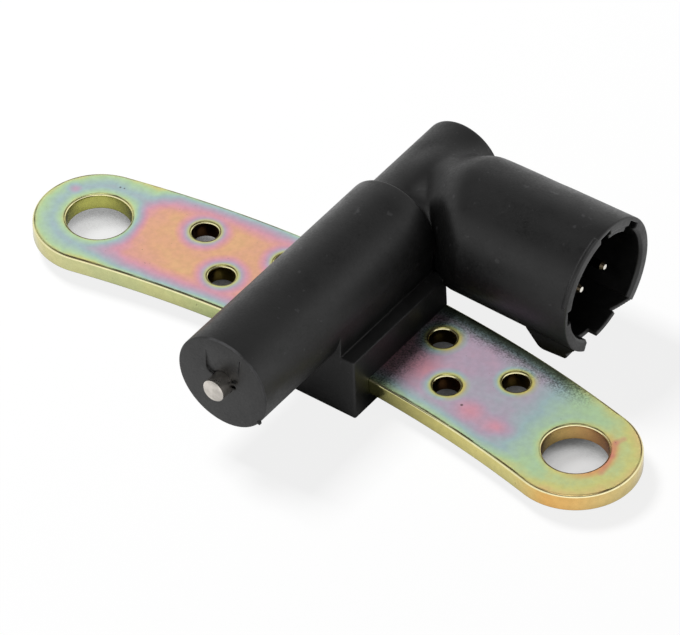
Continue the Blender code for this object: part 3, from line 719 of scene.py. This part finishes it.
def bead():
    """Low raised band outside the rim."""
    first, last = BEAD_ANGLES
    steps = 36
    rings = []
    for step in range(steps + 1):
        angle = first + (last - first) * step / steps
        outer = SHROUD_RADIUS + BEAD_HEIGHT
        rings.append([
            rim_point(angle, SHROUD_RADIUS - BEAD_HEIGHT, SHROUD_END_X - BEAD_LENGTH - BEAD_HEIGHT),
            rim_point(angle, outer, SHROUD_END_X - BEAD_LENGTH),
            rim_point(angle, outer, SHROUD_END_X - BEAD_HEIGHT),
            rim_point(angle, SHROUD_RADIUS - BEAD_HEIGHT / 2, SHROUD_END_X - 0.00005),
            rim_point(angle, SHROUD_RADIUS - BEAD_HEIGHT, SHROUD_END_X - 0.00005),
        ])
    return add_object("add_bead", loft(rings))


def guide_pad():
    """Low pad along the socket's wall, a little short of the rim."""
    first, last = PAD_ANGLES
    inner, outer = SOCKET_RADIUS - PAD_HEIGHT, SOCKET_RADIUS + PAD_HEIGHT
    steps = 16
    rings = []
    for step in range(steps + 1):
        angle = first + (last - first) * step / steps
        rings.append([
            rim_point(angle, inner, SOCKET_FLOOR_X - PAD_HEIGHT),
            rim_point(angle, outer, SOCKET_FLOOR_X - PAD_HEIGHT),
            rim_point(angle, outer, SHROUD_END_X - PAD_SETBACK - SOCKET_MOUTH_CHAMFER),
            rim_point(angle, inner, SHROUD_END_X - PAD_SETBACK - SOCKET_MOUTH_CHAMFER),
        ])
    return add_object("add_guide_pad", loft(rings))


def latch_boss():
    """Boss with a flat side and a ramp, seen from the side as an outline in X and Z."""
    bottom = AXIS_Z - LATCH_BOTTOM_DROP
    start = SHROUD_END_X - LATCH_START_SETBACK
    end = SHROUD_END_X - LATCH_END_SETBACK
    crease = AXIS_Z - math.sqrt(SHROUD_RADIUS ** 2 - LATCH_SIDE_OFFSET ** 2)
    ramp_foot = (start + LATCH_RAMP_LENGTH, bottom, 0.0)
    down_ramp = (Vector(ramp_foot) - Vector((start, crease, 0.0))).normalized()
    outline = [(start, crease + 0.0010), (start, crease)]
    outline += [(p.x, p.y) for p in bend_points(ramp_foot, down_ramp, (1, 0, 0), LATCH_RAMP_ROUND, 4)]
    outline += [
        (end - 0.0003, bottom + 0.0003),
        (end, bottom + 0.0006),
        (end - 0.0001, bottom + 0.0013),
        (SHROUD_END_X - 0.0001, crease - 0.0002),
        (SHROUD_END_X - 0.0001, crease + 0.0010),
    ]
    side = SHROUD_AXIS_Y - LATCH_SIDE_OFFSET
    standing = Matrix(((1, 0, 0, 0), (0, 0, 1, 0), (0, 1, 0, 0), (0, 0, 0, 1)))
    return add_object("add_latch", extruded([outline], side, SHROUD_AXIS_Y, standing))


def tip_mark():
    """Wedge that leaves a rounded mark on the tip face, fading out upwards."""
    half, round_ = TIP_MARK_WIDTH / 2, TIP_MARK_CORNER
    low = AXIS_Z + TIP_MARK_RISE
    high = low + TIP_MARK_HEIGHT
    outline = [(-half, high)]
    outline += arc_points((-half + round_, low + round_), round_, 180, 270, 5)
    outline += arc_points((half - round_, low + round_), round_, 270, 360, 5)
    outline.append((half, high))
    face_y = -BARREL_TIP
    outside = [(x, face_y - OVERRUN, z) for x, z in outline]
    inside = []
    for x, z in outline:
        fade = (high - z) / TIP_MARK_HEIGHT
        inside.append((x, face_y + TIP_MARK_DEPTH * fade, z))
    return add_object("cut_tip_mark", loft([outside, inside]))


def plate_slot():
    """Slot for the plate, open to both sides and to the rear, less the key through it."""
    low = PLATE_BOTTOM - SNUG
    high = PLATE_TOP + SNUG
    reach = BLOCK_WIDTH / 2 + OVERRUN
    inner = ARC_RADIUS - BAND_SHIFT - HALF_WIDTH - SNUG
    outline = []
    steps = 24
    for step in range(steps + 1):
        x = -reach + 2 * reach * step / steps
        outline.append(plate_point(math.asin(x / inner), inner))
    outline += [(reach, BLOCK_REAR + OVERRUN), (-reach, BLOCK_REAR + OVERRUN)]
    slot = add_object("slot", extruded([outline], low, high))
    key = [(level, KEY_HOLE_RADIUS - SNUG) for level in (low - OVERRUN, high + OVERRUN)]
    cut(slot, add_object("key", turned(key, 48, Matrix.Identity(4))))
    settle(slot)
    return slot


def outer_housing(material):
    """Barrel, neck, cheeks, web, block and shroud in one, with the shroud's root blended in."""
    body = turned(barrel_profile(), SMOOTH_SEGMENTS, on_barrel_axis())
    housing = add_object("housing_skin", body, material)
    cheeks = block(
        (-BARREL_RADIUS, -BLOCK_FRONT + BLOCK_DRAFT, BLOCK_TOP_Z - OVERRUN / 2),
        (BARREL_RADIUS, CHEEK_REAR, AXIS_Z),
    )
    web = block(
        (-NECK_WEB_WIDTH / 2, CHEEK_REAR - OVERRUN, AXIS_Z - NECK_WEB_DROP),
        (NECK_WEB_WIDTH / 2 + WEB_EXTRA, SHROUD_AXIS_Y, AXIS_Z - NECK_WEB_DROP / 4),
    )
    parts = (("cheeks", cheeks), ("web", web), ("grip", drafted_block()), ("shroud", shroud()))
    for name, shape in parts:
        cut(housing, add_object(name, shape), "UNION")
    settle(housing)
    blend_root(housing)
    return housing


def cut_bores(housing):
    """Socket, room for the coil and leads, and the pole piece's hole."""
    mouth = SHROUD_END_X - SOCKET_MOUTH_CHAMFER
    pitch = (mouth - SOCKET_FLOOR_X) / 6
    socket = [(SOCKET_FLOOR_X + pitch * step, SOCKET_RADIUS) for step in range(7)]
    socket.append((SHROUD_END_X + OVERRUN, SOCKET_RADIUS + SOCKET_MOUTH_CHAMFER + OVERRUN))
    cut(housing, add_object("socket", turned(socket, SMOOTH_SEGMENTS, on_shroud_axis())))
    along_barrel, along_shroud = on_barrel_axis(), on_shroud_axis()
    pole_ends = (-BARREL_TIP - OVERRUN, CORE_BORE_FRONT_Y + OVERRUN)
    bores = (
        ("core_bore", along_barrel, (CORE_BORE_FRONT_Y, CORE_BORE_REAR), CORE_BORE_RADIUS),
        ("neck_bore", along_barrel, (CORE_BORE_REAR - OVERRUN, NECK_BORE_END_Y), NECK_BORE_RADIUS),
        ("side_bore", along_shroud, (0.0, SOCKET_FLOOR_X + OVERRUN), SIDE_BORE_RADIUS),
        ("pole_bore", along_barrel, pole_ends, POLE_RADIUS + SNUG),
    )
    for name, placement, ends, radius in bores:
        profile = [(end, radius) for end in ends]
        cut(housing, add_object(name, turned(profile, MEDIUM_SEGMENTS, placement)))


def mark_tip(housing):
    """Mould mark, grooves and pit on the tip face, and the crumb of flash at its edge."""
    face_y = -BARREL_TIP
    outside, inside = face_y - OVERRUN, face_y + TIP_GROOVE_DEPTH
    cut(housing, tip_mark())
    groove = []
    for left, rise in TIP_GROOVES:
        right, z = left + TIP_GROOVE_WIDTH, AXIS_Z + rise
        groove.append([(left, outside, z), (right, outside, z), (right, inside, z), (left, inside, z)])
    cut(housing, add_object("groove", loft(groove)))
    pit = [(outside, TIP_PIT_RADIUS), (face_y + TIP_PIT_DEPTH, TIP_PIT_RADIUS)]
    pit_place = Matrix.Translation((TIP_PIT_X, 0, AXIS_Z + TIP_PIT_RISE)) @ ALONG_Y
    cut(housing, add_object("pit", turned(pit, 12, pit_place)))
    crumb = block(
        (FLASH_X[0], face_y - FLASH_OUT, AXIS_Z - FLASH_DROP[0]),
        (FLASH_X[1], face_y + FLASH_IN, AXIS_Z - FLASH_DROP[1]),
    )
    cut(housing, add_object("flash", crumb), "UNION")


def fine_housing(material):
    """The housing with many more facets, and its plate and pole piece moulded in tightly."""
    housing = outer_housing(material)
    cut(housing, latch_boss(), "UNION")
    cut(housing, bead(), "UNION")
    cut_bores(housing)
    cut(housing, plate_slot())
    mark_tip(housing)
    cut(housing, guide_pad(), "UNION")
    cut(housing, add_object("keyways", gather([keyway(angle) for angle in KEYWAY_ANGLES])))
    inner, outer = SOCKET_RADIUS - OVERRUN, SHROUD_RADIUS + 2 * OVERRUN
    for name, sizes in (("rim_slot", RIM_SLOT), ("rim_step", RIM_STEP), ("rim_slope", RIM_SLOPE)):
        cut(housing, rim_sector(name, *sizes, inner, outer))
    cut(housing, rim_sector("thin_wall", *THIN_WALL, inner, SHROUD_RADIUS - THIN_WALL_THICKNESS))
    settle(housing)
    housing.data.set_sharp_from_angle(angle=math.radians(30))
    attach(housing, "root")
    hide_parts("sensor_housing")
    return housing


def plate_outline(inset):
    """The band's outline, drawn in by an inset."""
    middle = ARC_RADIUS - BAND_SHIFT
    half = HALF_WIDTH - SNUG - inset
    lean = math.degrees(EAR_ANGLE)
    steps = 110
    turns = [EAR_ANGLE * (2 * step / steps - 1) for step in range(steps + 1)]
    outline = [plate_point(turn, middle + half) for turn in turns]
    outline += arc_points(plate_point(EAR_ANGLE, middle), half, 90 - lean, -90 - lean, 64)[1:-1]
    outline += [plate_point(turn, middle - half) for turn in reversed(turns)]
    outline += arc_points(plate_point(-EAR_ANGLE, middle), half, 270 + lean, 90 + lean, 64)[1:-1]
    return outline


def round_hole(centre, radius, count):
    """Outline of a hole for any inset of its lip, so a wider lip has a larger radius."""
    def outline(inset):
        return arc_points(centre, radius + inset, 0, 360 - 360 / count, count - 1)
    return outline


def rolled_levels(low, high, round_low, round_high):
    """(height, inset) up a wall whose two edges are rounded, with a flat margin at each end."""
    steps = 7
    levels = [(low, round_low + 0.2 * MM)]
    for step in range(steps + 1):
        angle = math.radians(90 * step / steps)
        levels.append((low + round_low * (1 - math.cos(angle)), round_low * (1 - math.sin(angle))))
    for step in range(steps + 1):
        angle = math.radians(90 * step / steps)
        levels.append((high - round_high * (1 - math.sin(angle)), round_high * (1 - math.cos(angle))))
    levels.append((high, round_high + 0.2 * MM))
    return levels


def fine_plate(material):
    """The stamped plate with rolled edges and rounded lips round its holes."""
    shape = bmesh.new()
    walls = [(plate_outline, PLATE_EDGE_ROUND)]
    walls.append((round_hole((0, 0), KEY_HOLE_RADIUS, 48), HOLE_EDGE_ROUND))
    for side in (-1, 1):
        centre = plate_point(side * EAR_ANGLE, ARC_RADIUS)
        walls.append((round_hole(centre, EAR_HOLE_RADIUS, 96), HOLE_EDGE_ROUND))
    for centre in small_holes():
        walls.append((round_hole(centre, SMALL_HOLE_RADIUS, 64), HOLE_EDGE_ROUND))
    rims = {PLATE_BOTTOM: [], PLATE_TOP: []}
    for outline, round_ in walls:
        levels = rolled_levels(PLATE_BOTTOM, PLATE_TOP, 0.5 * round_, round_)
        rings = [[shape.verts.new((x, y, z)) for x, y in outline(inset)] for z, inset in levels]
        for ring, after in zip(rings, rings[1:]):
            for index in range(len(ring)):
                shape.faces.new((ring[index - 1], ring[index], after[index], after[index - 1]))
        for level, ring in ((PLATE_BOTTOM, rings[0]), (PLATE_TOP, rings[-1])):
            pairs = [(ring[index - 1], ring[index]) for index in range(len(ring))]
            rims[level] += [shape.edges.get(pair) for pair in pairs]
    for edges in rims.values():
        bmesh.ops.triangle_fill(shape, edges=edges, use_beauty=True)
    plate = add_object("plate_skin", shape, material, 60.0)
    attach(plate, "root")
    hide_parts("mounting_plate")
    return plate


# Finishes


def plating():
    """Yellow chromated zinc: the film's tint follows the distance to the nearest edge."""
    material, s = new_material("plating")
    place = s.add("ShaderNodeTexCoord").outputs["Object"]
    x, y = s.split(place)[0], s.split(place)[1]
    flat = s.joined(x=x, y=y)

    # Distance to the band's edge: an arc with a round end about each ear
    centre = (0.0, -ARC_RADIUS, 0.0)
    outward = s.math("SUBTRACT", s.vector("DISTANCE", flat, centre), ARC_RADIUS - BAND_SHIFT)
    off_arc = s.math("ABSOLUTE", outward)
    ear = plate_point(EAR_ANGLE, ARC_RADIUS)
    mirrored = s.joined(x=s.math("ABSOLUTE", x), y=y)
    off_ear = s.vector("DISTANCE", mirrored, (ear[0], ear[1], 0.0))
    past_ear = s.math("GREATER_THAN", s.math("ABSOLUTE", x), ear[0])
    off_middle = s.math("ADD", s.times(off_arc, s.opposite(past_ear)), s.times(off_ear, past_ear))
    from_edge = s.math("SUBTRACT", HALF_WIDTH, off_middle)

    # Distance to the nearest hole; holes in the two halves mirror each other
    from_hole = s.math("SUBTRACT", off_ear, EAR_HOLE_RADIUS)
    right_holes = list(small_holes())[3:]
    for hole in right_holes:
        away = s.vector("DISTANCE", mirrored, (hole[0], hole[1], 0.0))
        away = s.math("SUBTRACT", away, SMALL_HOLE_RADIUS)
        from_hole = s.math("SMOOTH_MIN", from_hole, away, 1.0 * MM)
    depth = s.math("SMOOTH_MIN", from_edge, s.times(from_hole, 1.6), 1.5 * MM)

    # Film inland: golden on the left arm, lilac on the right one, greener round the right ear
    drift = s.ranged(s.noise(place, 75.0, 3.0, 0.55), 0.3, 0.7, -1.0, 1.0, smooth=False)
    fleck = s.ranged(s.noise(place, 420.0, 4.0, 0.65), 0.3, 0.7, -1.0, 1.0, smooth=False)
    uneven_x = s.math("ADD", x, s.times(drift, 2.5 * MM))
    inland = s.ramp(s.ranged(uneven_x, -FILM_REACH, FILM_REACH, smooth=False), [
        (0.0, (0.36,) * 3),
        (0.12, (0.38,) * 3),
        (0.17, (0.74,) * 3),
        (0.27, (0.82,) * 3),
        (0.42, (0.80,) * 3),
        (0.62, (0.50,) * 3),
        (0.70, (0.40,) * 3),
        (0.80, (0.38,) * 3),
        (0.86, (0.18,) * 3),
        (1.0, (0.08,) * 3),
    ])
    for centre, reach, rise in FILM_PATCHES:
        stretched = s.vector("MULTIPLY", place, (1.0, PATCH_STRETCH, 0.0))
        away = s.from_spot(stretched, (centre[0], centre[1] * PATCH_STRETCH))
        away = s.math("ADD", away, s.times(drift, 1.6 * MM))
        inland = s.math("ADD", inland, s.ranged(away, reach * MM, 0.0, 0.0, rise))
    run_in = s.ranged(x, 4 * MM, 30 * MM, 4.6 * MM, 2.6 * MM)
    film = s.times(inland, s.math("POWER", s.math("DIVIDE", depth, run_in, clamp=True), 0.62))
    film = s.math("ADD", film, s.times(drift, 0.06))
    film = s.math("ADD", film, s.times(fleck, 0.022), clamp=True)
    tint = s.ramp(film, FILM_TINTS)

    # Orange film on the right of each hole, and a smudge beside the right ear's
    beside = s.ranged(from_hole, 2.1 * MM, 0.4 * MM)
    right_of = s.ranged(s.math("SUBTRACT", x, ear[0]), 1.5 * MM, 5.5 * MM)
    tint = s.mix(s.times(beside, right_of, 0.75), tint, srgb(232, 158, 108))
    for hole in right_holes:
        out_x = s.ranged(s.math("SUBTRACT", x, hole[0]), 0.9 * MM, 2.4 * MM)
        near_hole = s.ranged(s.vector("DISTANCE", flat, (hole[0], hole[1], 0.0)), 4.0 * MM, 2.6 * MM)
        tint = s.mix(s.times(out_x, near_hole, 0.55), tint, srgb(226, 176, 104))
    off_ear_lip = s.opposite(s.ranged(off_ear, 7.6 * MM, 6.6 * MM))
    lip = s.times(s.ranged(from_hole, 1.1 * MM, 0.35 * MM), off_ear_lip)
    tint = s.mix(s.times(lip, 0.75), tint, srgb(216, 206, 108))
    for first, last in zip(SMUDGE, SMUDGE[1:]):
        reach = math.hypot(last[0] - first[0], last[1] - first[1])
        along = ((last[0] - first[0]) / reach, (last[1] - first[1]) / reach, 0.0)
        from_first = s.vector("SUBTRACT", flat, (first[0] * MM, first[1] * MM, 0.0))
        run = s.math("MAXIMUM", s.vector("DOT_PRODUCT", from_first, along), 0.0)
        run = s.math("MINIMUM", run, reach * MM)
        away = s.vector("DISTANCE", from_first, s.vector("SCALE", along, scale=run))
        tint = s.mix(s.times(s.ranged(away, 0.85 * MM, 0.05 * MM), 0.42), tint, srgb(226, 130, 132))

    # Cut edges: yellow-green, turning golden towards the right ear
    side_tint = s.ramp(s.ranged(x, -FILM_REACH, FILM_REACH, smooth=False), [
        (0.0, srgb(214, 212, 158)),
        (0.30, srgb(196, 206, 146)),
        (0.60, srgb(184, 190, 112)),
        (0.72, srgb(214, 206, 122)),
        (0.86, srgb(214, 206, 130)),
        (0.92, srgb(236, 184, 106)),
        (0.96, srgb(236, 186, 112)),
        (1.0, srgb(214, 196, 134)),
    ])
    side_tint = s.mix(s.ranged(drift, -1.0, 1.0, 0.0, 0.35), side_tint, srgb(236, 216, 140))
    normal = s.add("ShaderNodeNewGeometry").outputs["Normal"]
    upright = s.math("ABSOLUTE", s.split(normal)[2])
    ear_wall = s.ramp(s.ranged(x, -50 * MM, 50 * MM, smooth=False), [
        (0.0, srgb(226, 226, 122)),
        (0.5, srgb(150, 140, 70)),
        (0.88, srgb(220, 200, 120)),
        (1.0, srgb(238, 166, 116)),
    ])
    small_wall = s.mix(s.ranged(drift, -0.6, 0.6), srgb(150, 132, 60), srgb(110, 74, 40))
    by_ear = s.ranged(off_ear, 7.5 * MM, 6.5 * MM)
    in_hole = s.ranged(from_hole, 0.35 * MM, 0.1 * MM)
    side_tint = s.mix(in_hole, side_tint, s.mix(by_ear, small_wall, ear_wall))
    colour = s.mix(s.ranged(upright, 0.25, 0.75), side_tint, tint)

    # Rolled rim: a painted dark reflection where the top ends, then a painted highlight; the same on
    # the holes' lips
    painted_dark_reflection = s.times(s.ranged(upright, 0.84, 0.92), s.ranged(upright, 0.9998, 0.995))
    painted_rim_highlight = s.times(s.ranged(upright, 0.30, 0.45), s.ranged(upright, 0.88, 0.76))
    uneven = s.ranged(s.noise(place, 260.0, 3.0), 0.35, 0.60, 0.35, 1.0)
    colour = s.mix(s.times(painted_rim_highlight, 0.85), colour, srgb(252, 244, 196))
    colour = s.mix(s.times(painted_dark_reflection, uneven, 0.92), colour, (0.07, 0.035, 0.014))

    flat_part = s.ranged(upright, 0.90, 0.995)
    grain = s.noise(place, 900.0, 3.0, 0.6)
    dimmed = s.mix(1.0, colour, (0.80, 0.80, 0.80), "MULTIPLY")
    colour = s.mix(s.ranged(grain, 0.3, 0.7, 0.0, 0.45), colour, dimmed)

    # Painted shadow beside the moulding and along the far edge of the right arm, where the block and
    # shroud shade the plate, grainy at its edge
    shadow_beside_moulding = s.times(s.ranged(x, 17.0 * MM, 12.0 * MM), s.math("GREATER_THAN", x, 0.0))
    shadow_under_shroud = s.times(s.ranged(outward, 5.3 * MM, 10.3 * MM), s.ranged(x, 44 * MM, 35 * MM))
    shadow_under_shroud = s.times(shadow_under_shroud, s.math("GREATER_THAN", x, 0.0))
    painted_shadow = s.math("MAXIMUM", s.times(shadow_beside_moulding, 0.62), shadow_under_shroud)
    shadow_edge = s.times(s.times(painted_shadow, s.opposite(painted_shadow)), 4.0)
    shadow_edge_grain = s.math("SUBTRACT", s.noise(place, 3600.0, 2.0, 0.6), 0.5)
    painted_shadow = s.math("ADD", painted_shadow, s.times(s.times(shadow_edge_grain, shadow_edge), 2.2), clamp=True)
    painted_shadow = s.times(painted_shadow, s.ranged(upright, 0.97, 0.995, 0.35, 0.93))
    # The painted shadow darkens the plate's colour towards near black
    colour = s.mix(painted_shadow, colour, (0.030, 0.033, 0.026))
    speck = s.ranged(s.noise(place, 1300.0, 2.0, 0.5), 0.72, 0.78)
    colour = s.mix(s.times(speck, 0.5), colour, (0.12, 0.09, 0.05))
    for mark, reach in SPECKS:
        dark = s.ranged(s.from_spot(flat, mark), reach * MM, 0.5 * reach * MM)
        colour = s.mix(s.times(dark, 0.8), colour, (0.05, 0.035, 0.02))
    uneven_rough = s.ranged(grain, 0.3, 0.7, -0.04, 0.04, smooth=False)
    roughness = s.math("ADD", s.ranged(flat_part, 0.0, 1.0, 0.16, 0.46), uneven_rough)
    metallic = s.ranged(flat_part, 0.0, 1.0, 0.9, 0.18)
    relief = s.bump(grain, 0.01 * MM, 0.4)
    s.surface(Base_Color=colour, Metallic=metallic, Roughness=roughness, Normal=relief)
    return material


def moulded_plastic(name, level=1.0):
    """Satin black plastic with a fine grain, faint rubs and paler edges."""
    material, s = new_material(name)
    place = s.add("ShaderNodeTexCoord").outputs["Object"]
    cloud = s.noise(place, 60.0, 3.0, 0.6)
    grain = s.noise(place, 2600.0, 2.0, 0.5)
    geometry = s.add("ShaderNodeNewGeometry")
    round_normal = s.add("ShaderNodeBevel", {"Radius": 0.4 * MM}, samples=8).outputs[0]
    sharpness = s.opposite(s.vector("DOT_PRODUCT", round_normal, geometry.outputs["Normal"]))
    patchy = s.ranged(s.noise(place, 260.0, 3.0), 0.38, 0.56)
    worn = s.times(s.ranged(sharpness, 0.01, 0.22), patchy)
    x, y, z = s.split(place)[0], s.split(place)[1], s.split(place)[2]
    off_shroud_axis = s.vector("DISTANCE", s.joined(y=y, z=z), (0.0, SHROUD_AXIS_Y, AXIS_Z))
    in_socket = s.ranged(off_shroud_axis, 10.9 * MM, 10.5 * MM)
    in_socket = s.times(in_socket, s.math("GREATER_THAN", x, SOCKET_FLOOR_X))
    open_air = s.add("ShaderNodeAmbientOcclusion", {"Distance": 1.0 * MM}, samples=6).outputs["AO"]
    worn = s.times(worn, s.ranged(open_air, 0.80, 0.95), s.opposite(in_socket))

    # Pale rub along the upper right of the tip's edge
    off_barrel_axis = s.vector("DISTANCE", s.joined(x=x, z=z), (0.0, 0.0, AXIS_Z))
    off_rim = s.math("ABSOLUTE", s.math("SUBTRACT", off_barrel_axis, BARREL_RADIUS - 0.14 * MM))
    rubbed = s.ranged(off_rim, 0.26 * MM, 0.06 * MM)
    rubbed = s.times(rubbed, s.math("LESS_THAN", y, -BARREL_TIP + 0.3 * MM))
    rubbed = s.times(rubbed, s.ranged(x, -3.2 * MM, -1.0 * MM), s.ranged(z, 12.0 * MM, 17.0 * MM))
    rubbed = s.times(rubbed, s.ranged(s.noise(place, 420.0, 3.0), 0.32, 0.52, 0.15, 1.0))
    worn = s.math("MAXIMUM", worn, rubbed)
    dark, less_dark = (0.003 * level,) * 3, (0.005 * level,) * 3
    base = s.mix(s.ranged(cloud, 0.3, 0.7), dark, less_dark)
    colour = s.mix(s.times(worn, 0.6), base, (0.13, 0.13, 0.135))
    rub = s.ranged(s.noise(place, 330.0, 4.0, 0.7), 0.3, 0.7, -1.0, 1.0, smooth=False)
    grainy = s.times(s.math("SUBTRACT", grain, 0.5), 0.34)
    rough = s.math("ADD", s.ranged(cloud, 0.3, 0.7, 0.39, 0.49), grainy)
    rough = s.math("ADD", rough, s.times(rub, 0.05))
    fleck = s.ranged(s.noise(place, 760.0, 2.0, 0.5), 0.67, 0.75)
    colour = s.mix(s.times(fleck, 0.45), colour, (0.05, 0.05, 0.052))
    relief = s.bump(grain, 0.012 * MM, 0.7, round_normal)
    relief = s.bump(rub, 0.010 * MM, 0.5, relief)
    s.surface(Base_Color=colour, Roughness=rough, Normal=relief)
    return material


def bright_metal(name, tint, roughness):
    """Turned or drawn metal with fine lines round it and a little tarnish."""
    material, s = new_material(name)
    place = s.add("ShaderNodeTexCoord").outputs["Object"]
    cloud = s.noise(place, 500.0, 3.0, 0.6)
    colour = s.mix(s.ranged(cloud, 0.35, 0.7), tint, tuple(value * 0.72 for value in tint))
    lines = s.noise(s.vector("MULTIPLY", place, (3000.0, 400.0, 3000.0)), 1.0, 2.0)
    rough = s.ranged(cloud, 0.3, 0.7, roughness, roughness + 0.12, smooth=False)
    s.surface(Base_Color=colour, Metallic=1.0, Roughness=rough, Normal=s.bump(lines, 0.01 * MM, 0.3))
    return material


def pin_metal():
    """Tinned pin with painted light: a pale end as a painted highlight, and a dull brown side as
    painted shade.
    """
    material, s = new_material("pin_metal")
    place = s.add("ShaderNodeTexCoord").outputs["Object"]
    facing = s.split(s.add("ShaderNodeNewGeometry").outputs["Normal"])[0]
    cloud = s.noise(place, 900.0, 3.0, 0.6)
    # Painted shade on the side, as if in the socket's shade, and a painted highlight on the end
    side = s.mix(cloud, (0.055, 0.040, 0.026), (0.12, 0.095, 0.06))
    colour = s.mix(s.ranged(facing, 0.55, 0.85), side, srgb(240, 236, 226))
    s.surface(Base_Color=colour, Metallic=1.0, Roughness=s.ranged(cloud, 0.3, 0.7, 0.18, 0.30))
    return material


def dress(node, material):
    mesh = nodes[node].data
    mesh.materials.clear()
    mesh.materials.append(material)


plating_finish = plating()
fine_plate(plating_finish)
plastic_finish = moulded_plastic("housing_plastic")
fine_housing(plastic_finish)
dress("mounting_plate", plating_finish)
dress("sensor_housing", plastic_finish)
dress("terminal_carrier", moulded_plastic("carrier_plastic", 0.8))
dress("pole_piece", bright_metal("pole_steel", srgb(214, 208, 200), 0.26))
dress("magnet", bright_metal("magnet_grey", srgb(96, 96, 100), 0.45))
dress("coil_bobbin", moulded_plastic("bobbin_plastic", 6.0))
dress("coil_tape", moulded_plastic("tape", 4.0))
pin_finish = pin_metal()
copper_finish = bright_metal("copper_wire", srgb(190, 110, 70), 0.3)
for side in ("left", "right"):
    dress("contact_pin_" + side, pin_finish)
    dress("lead_wire_" + side, copper_finish)
dress("coil_winding", copper_finish)


# Studio


def build_floor():
    mesh = bpy.data.meshes.new("floor")
    shape = bmesh.new()
    bmesh.ops.create_grid(shape, x_segments=1, y_segments=1, size=FLOOR_SIZE)
    shape.to_mesh(mesh)
    shape.free()
    floor = bpy.data.objects.new("floor", mesh)
    bpy.context.collection.objects.link(floor)
    material, s = new_material("floor_white")
    lit = s.add("ShaderNodeBsdfDiffuse", {"Color": (FLOOR_LIT, FLOOR_LIT, FLOOR_LIT, 1.0)}).outputs[0]
    open_sky = s.add("ShaderNodeAmbientOcclusion", {"Distance": FLOOR_REACH}, samples=8).outputs["AO"]
    seen = s.add("ShaderNodeLightPath").outputs["Is Camera Ray"]
    place = s.add("ShaderNodeTexCoord").outputs["Object"]
    x = s.split(place)[0]
    arc_centre = (SEEN_SHIFT[0], SEEN_SHIFT[1] - ARC_RADIUS, 0.0)
    from_arc = s.math("SUBTRACT", s.vector("DISTANCE", place, arc_centre), ARC_RADIUS)
    along_plate = s.math("ABSOLUTE", s.math("SUBTRACT", x, SEEN_SHIFT[0]))
    past_ear = s.math("SUBTRACT", along_plate, plate_point(EAR_ANGLE, ARC_RADIUS)[0])
    under = s.vector("LENGTH", s.joined(x=from_arc, y=s.math("MAXIMUM", past_ear, 0.0)))
    # Painted shade: the floor's glow dims with ambient occlusion under the plate for the camera, and
    # near the part for mirrored rays
    covered = s.ranged(under, HALF_WIDTH - 1.2 * MM, HALF_WIDTH - 2.4 * MM)
    hole_level = s.ranged(x, -40 * MM, 40 * MM, 0.80, 0.64)
    shaded = s.times(s.ranged(open_sky, 0.12, 0.36, 0.05, 1.0), hole_level)
    shaded = s.math("ADD", s.times(shaded, covered), s.opposite(covered))
    shaded_mirror = s.ranged(open_sky, 0.22, 0.88, 0.0, 1.0)
    shade = s.math("ADD", s.times(shaded, seen), s.times(shaded_mirror, s.opposite(seen)))
    strength = s.times(s.background_seen(), FLOOR_GLOW, shade)
    glow = s.add("ShaderNodeEmission", {"Color": (1.0, 1.0, 1.0, 1.0), "Strength": strength})
    both = s.add("ShaderNodeAddShader")
    s.feed(both.inputs[0], lit)
    s.feed(both.inputs[1], glow)
    s.add("ShaderNodeOutputMaterial", {"Surface": both})
    mesh.materials.append(material)


def softbox(name, place, aim, size, power):
    """Square area lamp that looks at a point."""
    data = bpy.data.lights.new(name, "AREA")
    data.shape = "RECTANGLE"
    data.size, data.size_y = size, size
    data.energy = power
    lamp = bpy.data.objects.new(name, data)
    lamp.visible_glossy = False
    lamp.location = place
    lamp.rotation_euler = (Vector(aim) - Vector(place)).to_track_quat("-Z", "Y").to_euler()
    bpy.context.collection.objects.link(lamp)


def build_world():
    """White for the camera; metal and plastic mirror a tent that is darker high up."""
    world = bpy.data.worlds.new("studio")
    world.use_nodes = True
    s = Shader(world.node_tree)
    toward = s.vector("NORMALIZE", s.add("ShaderNodeTexCoord").outputs["Generated"])
    height = s.split(toward)[2]
    level = s.ramp(height, [(place, (value / TENT_PEAK,) * 3) for place, value in TENT])
    lean = s.math("ADD", s.vector("DOT_PRODUCT", toward, TENT_LEAN), 1.0)
    tent = s.times(s.times(level, TENT_PEAK), lean)
    path = s.add("ShaderNodeLightPath")
    mirrored = s.math("MAXIMUM", path.outputs["Is Glossy Ray"], path.outputs["Is Transmission Ray"])
    tent = s.times(tent, s.ranged(mirrored, 0.0, 1.0, TENT_ON_DIFFUSE, 1.0, smooth=False))
    seen = path.outputs["Is Camera Ray"]
    strength = s.math("ADD", s.times(tent, s.opposite(seen)), seen)
    background = s.add("ShaderNodeBackground", {"Color": (1.0, 1.0, 1.0, 1.0), "Strength": strength})
    s.add("ShaderNodeOutputWorld", {"Surface": background})
    bpy.context.scene.world = world


def build_camera():
    azimuth, elevation = math.radians(CAMERA_AZIMUTH), math.radians(CAMERA_ELEVATION)
    ahead = Vector((
        -math.sin(azimuth) * math.cos(elevation),
        math.cos(azimuth) * math.cos(elevation),
        -math.sin(elevation),
    ))
    right = ahead.cross(Vector((0, 0, 1))).normalized()
    up = right.cross(ahead)
    turn = Matrix((right, up, -ahead)).transposed().to_4x4()
    data = bpy.data.cameras.new("camera")
    data.lens = LENS
    data.sensor_width = 36.0
    data.clip_start, data.clip_end = 0.05, 20.0
    camera = bpy.data.objects.new("camera", data)
    camera.matrix_world = (
        Matrix.Translation(CAMERA_TARGET - ahead * CAMERA_DISTANCE)
        @ turn
        @ Matrix.Rotation(math.radians(CAMERA_ROLL), 4, "Z")
    )
    bpy.context.collection.objects.link(camera)
    bpy.context.scene.camera = camera


build_floor()
build_world()
softbox("key_softbox", LAMP_TOWARDS.normalized() * LAMP_DISTANCE, (0, 0, 0), LAMP_SIZE, LAMP_POWER)
build_camera()
bpy.context.scene.view_settings.view_transform = "Standard"
